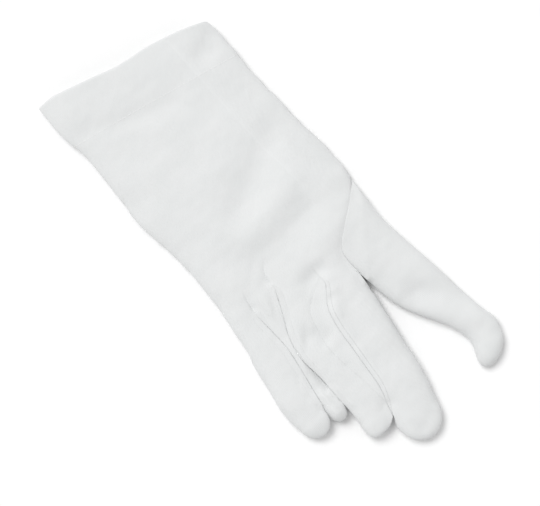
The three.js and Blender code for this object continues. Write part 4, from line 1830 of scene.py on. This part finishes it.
@dataclass
class CuffHem:
    """The cloth turned in at the cuff: a rounded fold, a second layer inside, and its row of stitches."""

    radius: float = CLOTH + LAYER_GAP / 2  # of the fold's outer face
    fold_steps: int = 10
    step_length: float = 10.3  # of one station along the hand, in millimetres
    stitch_length: float = 2.3
    stitch_gap: float = 0.7
    stitch_thickness: float = 0.28
    stitch_margin: float = 2.0  # from the stitches to the hem's cut edge

    RINGS = 9  # rings of points along each stitch
    SIDES = 6  # points round its thread
    RISE = 1.4  # how high a stitch rises from where it dips into the cloth, in radii of its thread
    LEVEL = 4  # how level it lies between its ends

    @property
    def fold_station(self) -> float:
        """How many stations of the hand the fold takes up, past which the flat cloth starts."""
        return self.radius / self.step_length

    @property
    def depths(self) -> tuple[float, float]:
        """How deep under the skin the two faces of the turned layer lie."""
        return CLOTH + LAYER_GAP, 2 * CLOTH + LAYER_GAP

    def rows(self, patch: Patch) -> int:
        """How many rows of a panel's patch the hem covers."""
        return int(np.searchsorted(patch.station[:, 0], HEM_STEPS - HAND_STEPS)) + 1

    def stitch_line(
        self, maker: ClothMaker, panels: dict[Face, list[Patch]]
    ) -> tuple[np.ndarray, np.ndarray]:
        """The line round the cuff that the stitches follow.

        Args:
            maker: knows where the skin's points are.
            panels: the patches of the back and the palm.

        Returns:
            Its points and the directions out of the cloth there.
        """
        found = []
        for patch in panels[Face.BACK] + panels[Face.PALM][::-1]:
            spacing = patch.station[1, 0] - patch.station[0, 0]
            row = self.rows(patch) - 1 - round(self.stitch_margin / self.step_length / spacing)
            line = maker.skin.owner[patch.numbers[row]]
            found.append(line if patch.face is Face.BACK else line[::-1])
        line = np.concatenate(found)
        return maker.points[line], maker.normals[line]

    def stitches(
        self, maker: ClothMaker, panels: dict[Face, list[Patch]], material: bpy.types.Material
    ) -> bpy.types.Object:
        """The row of stitches that holds the hem.

        Args:
            maker: knows where the skin's points are.
            panels: the patches of the back and the palm.
            material: the thread's finish.

        Returns:
            The new object.
        """
        points, normals = self.stitch_line(maker, panels)
        passed = running(np.linalg.norm(np.diff(points, axis=0), axis=1))
        count = int(passed[-1] / ((self.stitch_length + self.stitch_gap) * MM))
        share = np.linspace(-1, 1, self.RINGS)
        centres = passed[-1] / count * (np.arange(count) + 0.5)
        at = centres[:, None] + share * self.stitch_length / 2 * MM
        middle, out = (
            np.stack([np.interp(at, passed, line[:, axis]) for axis in range(3)], axis=-1)
            for line in (points, normals)
        )
        out = unit(out)
        across = np.cross(unit(np.gradient(middle, axis=1)), out)
        # The thread rises out of the cloth, lies on it and dips back in
        radius = self.stitch_thickness / 2 * MM
        height = np.sqrt(np.maximum(0, 1 - np.abs(share) ** self.LEVEL)) * (radius * self.RISE) - radius
        middle = middle + out * height[:, None]
        turns = np.arange(self.SIDES) * (2 * math.pi / self.SIDES)
        ways = across[:, :, None] * np.cos(turns)[:, None] + out[:, :, None] * np.sin(turns)[:, None]
        threads = middle[:, :, None] + ways * radius
        threads[..., 2] = np.maximum(threads[..., 2], 0)  # pressed flat on the floor
        return add_mesh("hem_stitches", threads.reshape(-1, 3), self._tubes(count), material)

    def _tubes(self, count: int) -> np.ndarray:
        """The faces of closed tubes, whose points are numbered round each ring and ring by ring.

        Args:
            count: how many tubes there are.

        Returns:
            The faces, as point numbers.
        """
        sides = self.SIDES
        faces = []
        for ring in range(self.RINGS - 1):
            for side in range(sides):
                p, q = ring * sides + side, ring * sides + (side + 1) % sides
                faces += [(p, q, q + sides), (p, q + sides, p + sides)]
        end = (self.RINGS - 1) * sides
        for side in range(1, sides - 1):
            faces += [(0, side + 1, side), (end, end + side, end + side + 1)]
        starts = np.arange(count) * self.RINGS * sides
        return (starts[:, None, None] + np.array(faces)).reshape(-1, 3)


@dataclass
class Studio:
    """A plain pale floor, soft light from the cuff's side, and the camera straight above, as in the photo."""

    scale: float = 0.52  # millimetres for each pixel of the photograph
    middle_x: float = -10.9  # the photograph's middle in the row frame, in millimetres
    middle_y: float = -3.1
    up: tuple[float, float] = (0.596, 0.803)  # the photograph's upward direction in the row frame
    height: float = 1.6  # of the camera over the floor, in metres
    floor_colour: int = 0xF7F7F7
    floor_size: float = 6.0
    key_elevation: float = 60.0  # degrees over the floor
    key_angle: float = 30.0  # how wide the key light looks from the glove, in degrees
    key_strength: float = 1.75
    fill_strength: float = 0.62
    sensor_width: float = 36.0  # millimetres
    clip: tuple[float, float] = (0.05, 20.0)  # how near and how far the camera sees, in metres

    def build(self) -> None:
        """Adds the floor, the lights and the camera."""
        self._floor()
        self._lights()
        self._camera()

    def _floor(self) -> None:
        """A plain floor under the glove."""
        # Uncoated paper is matt, so the floor shows the glove's soft shadow and no gloss
        material = bpy.data.materials.new("white paper backdrop")
        material.use_nodes = True
        shader = material.node_tree.nodes["Principled BSDF"]
        shader.inputs["Base Color"].default_value = srgb(self.floor_colour)
        shader.inputs["Roughness"].default_value = 1.0
        shader.inputs["Specular IOR Level"].default_value = 0.0
        half = self.floor_size / 2
        corners = np.array([(-half, -half, 0), (half, -half, 0), (half, half, 0), (-half, half, 0)])
        floor = add_mesh("floor", corners, np.array([[0, 1, 2, 3]]), material)

    def _lights(self) -> None:
        """A soft key light from the picture's upper left, and a bright even surround."""
        up = Vector((*self.up, 0.0))
        right = Vector((self.up[1], -self.up[0], 0.0))
        light = bpy.data.lights.new("softbox", "SUN")
        light.angle = math.radians(self.key_angle)
        light.energy = self.key_strength
        lamp = add_object("softbox", light)
        lift = math.radians(self.key_elevation)
        toward = (up - right).normalized() * math.cos(lift) + Vector((0.0, 0.0, math.sin(lift)))
        lamp.location = toward
        lamp.rotation_mode = "QUATERNION"
        lamp.rotation_quaternion = (-toward).to_track_quat("-Z", "Y")
        world = bpy.data.worlds.new("studio")
        world.use_nodes = True
        shade = world.node_tree.nodes["Background"]
        shade.inputs["Color"].default_value = (1.0, 1.0, 1.0, 1.0)
        shade.inputs["Strength"].default_value = self.fill_strength
        bpy.context.scene.world = world
        bpy.context.scene.view_settings.view_transform = "Standard"

    def _camera(self) -> None:
        """A long lens straight above, turned as the photograph is."""
        data = bpy.data.cameras.new("camera")
        camera = add_object("camera", data)
        up = Vector((*self.up, 0.0)).normalized()
        right = up.cross(Vector((0.0, 0.0, 1.0)))
        back = Vector((0.0, 0.0, 1.0))
        place = Matrix.Translation(Vector((self.middle_x * MM, self.middle_y * MM, self.height)))
        camera.matrix_world = place @ Matrix((right, up, back)).transposed().to_4x4()
        data.sensor_fit = "HORIZONTAL"
        data.sensor_width = self.sensor_width
        data.lens = data.sensor_width * self.height / (PHOTO_WIDTH * self.scale * MM)
        data.clip_start, data.clip_end = self.clip
        bpy.context.scene.camera = camera


@dataclass
class Glove:
    """The whole glove: its form, its pieces of cloth and their finishes."""

    hem: CuffHem = field(default_factory=CuffHem)
    knit: CottonKnit = CottonKnit()
    hem_knit: CottonKnit = CottonKnit(name="bleached cotton interlock knit, hem")
    thread: CottonThread = CottonThread()

    def build(self) -> None:
        """Makes every piece of cloth, named for the CAD node that it stands for, and hides that node."""
        pattern = ClothPattern(GloveForm(), FINENESS, self.hem.fold_station)
        panels = {
            Face.BACK: pattern.panel("back_panel", Face.BACK),
            Face.PALM: pattern.panel("palm_panel", Face.PALM),
        }
        patches = panels[Face.BACK] + panels[Face.PALM] + pattern.thumb("thumb")
        for table in SLITS:
            patches += pattern.fourchette(table)
        skin = Skin(patches)
        LOG.info("skin: %d points", len(skin.points))
        smooth_form = ClothMaker(skin, skin.points)
        maker = ClothMaker(skin, Relief().apply(skin, SeamFinder(skin).walk()))
        knit = self.knit.make()
        for own in panels.values():
            self._add(own[0].piece, maker.panel(own, self.hem), smooth_form.panel(own, self.hem), knit)
        for name, own in skin.piece_of.items():
            if own[0] not in panels[Face.BACK] + panels[Face.PALM]:
                depths = (0.0, CLOTH)
                self._add(name, maker.layer(own, depths), smooth_form.layer(own, depths), knit)
        self._add_hem(maker, smooth_form, panels)

    def _add(self, node: str, shell: Shell, flat: Shell, material: bpy.types.Material) -> None:
        """Args:
            node: the CAD node that it replaces.
            shell: the layer.
            flat: the same layer without folds, which has the flat cloth's size.
            material: its finish.
        """
        shell.trim()
        piece = shell.piece(f"{node}_cloth", material)
        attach(piece, "root")
        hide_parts(node)
        width, length = flat_size(node, flat)
        LOG.info("%s: %d triangles", piece.name, len(piece.data.polygons))

    def _add_hem(self, maker: ClothMaker, smooth_form: ClothMaker, panels: dict[Face, list[Patch]]) -> None:
        """Makes the turned layer of the hem and its stitches.

        Args:
            maker: knows where the skin's points are.
            smooth_form: the same before any fold.
            panels: the patches of the back and the palm.
        """
        own = panels[Face.BACK] + panels[Face.PALM]
        rows = self.hem.rows(own[0])
        layers = [each.layer(own, self.hem.depths, rows) for each in (maker, smooth_form)]
        self._add("cuff_hem", *layers, self.hem_knit.make())
        stitches = self.hem.stitches(maker, panels, self.thread.make())
        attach(stitches, "root")
        LOG.info("%s: %d triangles", stitches.name, len(stitches.data.polygons))


def flat_size(node: str, flat: Shell) -> tuple[float, float]:
    """The width and length of the cloth that a piece is cut from.

    Args:
        node: the piece's CAD node.
        flat: the piece without folds.

    Returns:
        Its width and length, in metres.
    """
    across, along = np.ptp(flat.fabric.reshape(-1, 2), axis=0) * MM
    if node in ("thumb", "cuff_hem"):
        across *= 2  # the fabric of its back and palm lies side by side
    if node == "cuff_hem":
        along = flat.area() / across
    if node.startswith("fourchette"):
        along *= 2  # one half for each of its fingers
    return float(across), float(along)


def main() -> None:
    """Builds the glove and then the studio."""
    logging.basicConfig(level=logging.INFO, format="%(name)s: %(message)s")
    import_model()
    Glove().build()
    Studio().build()


if __name__ == "__main__":
    main()
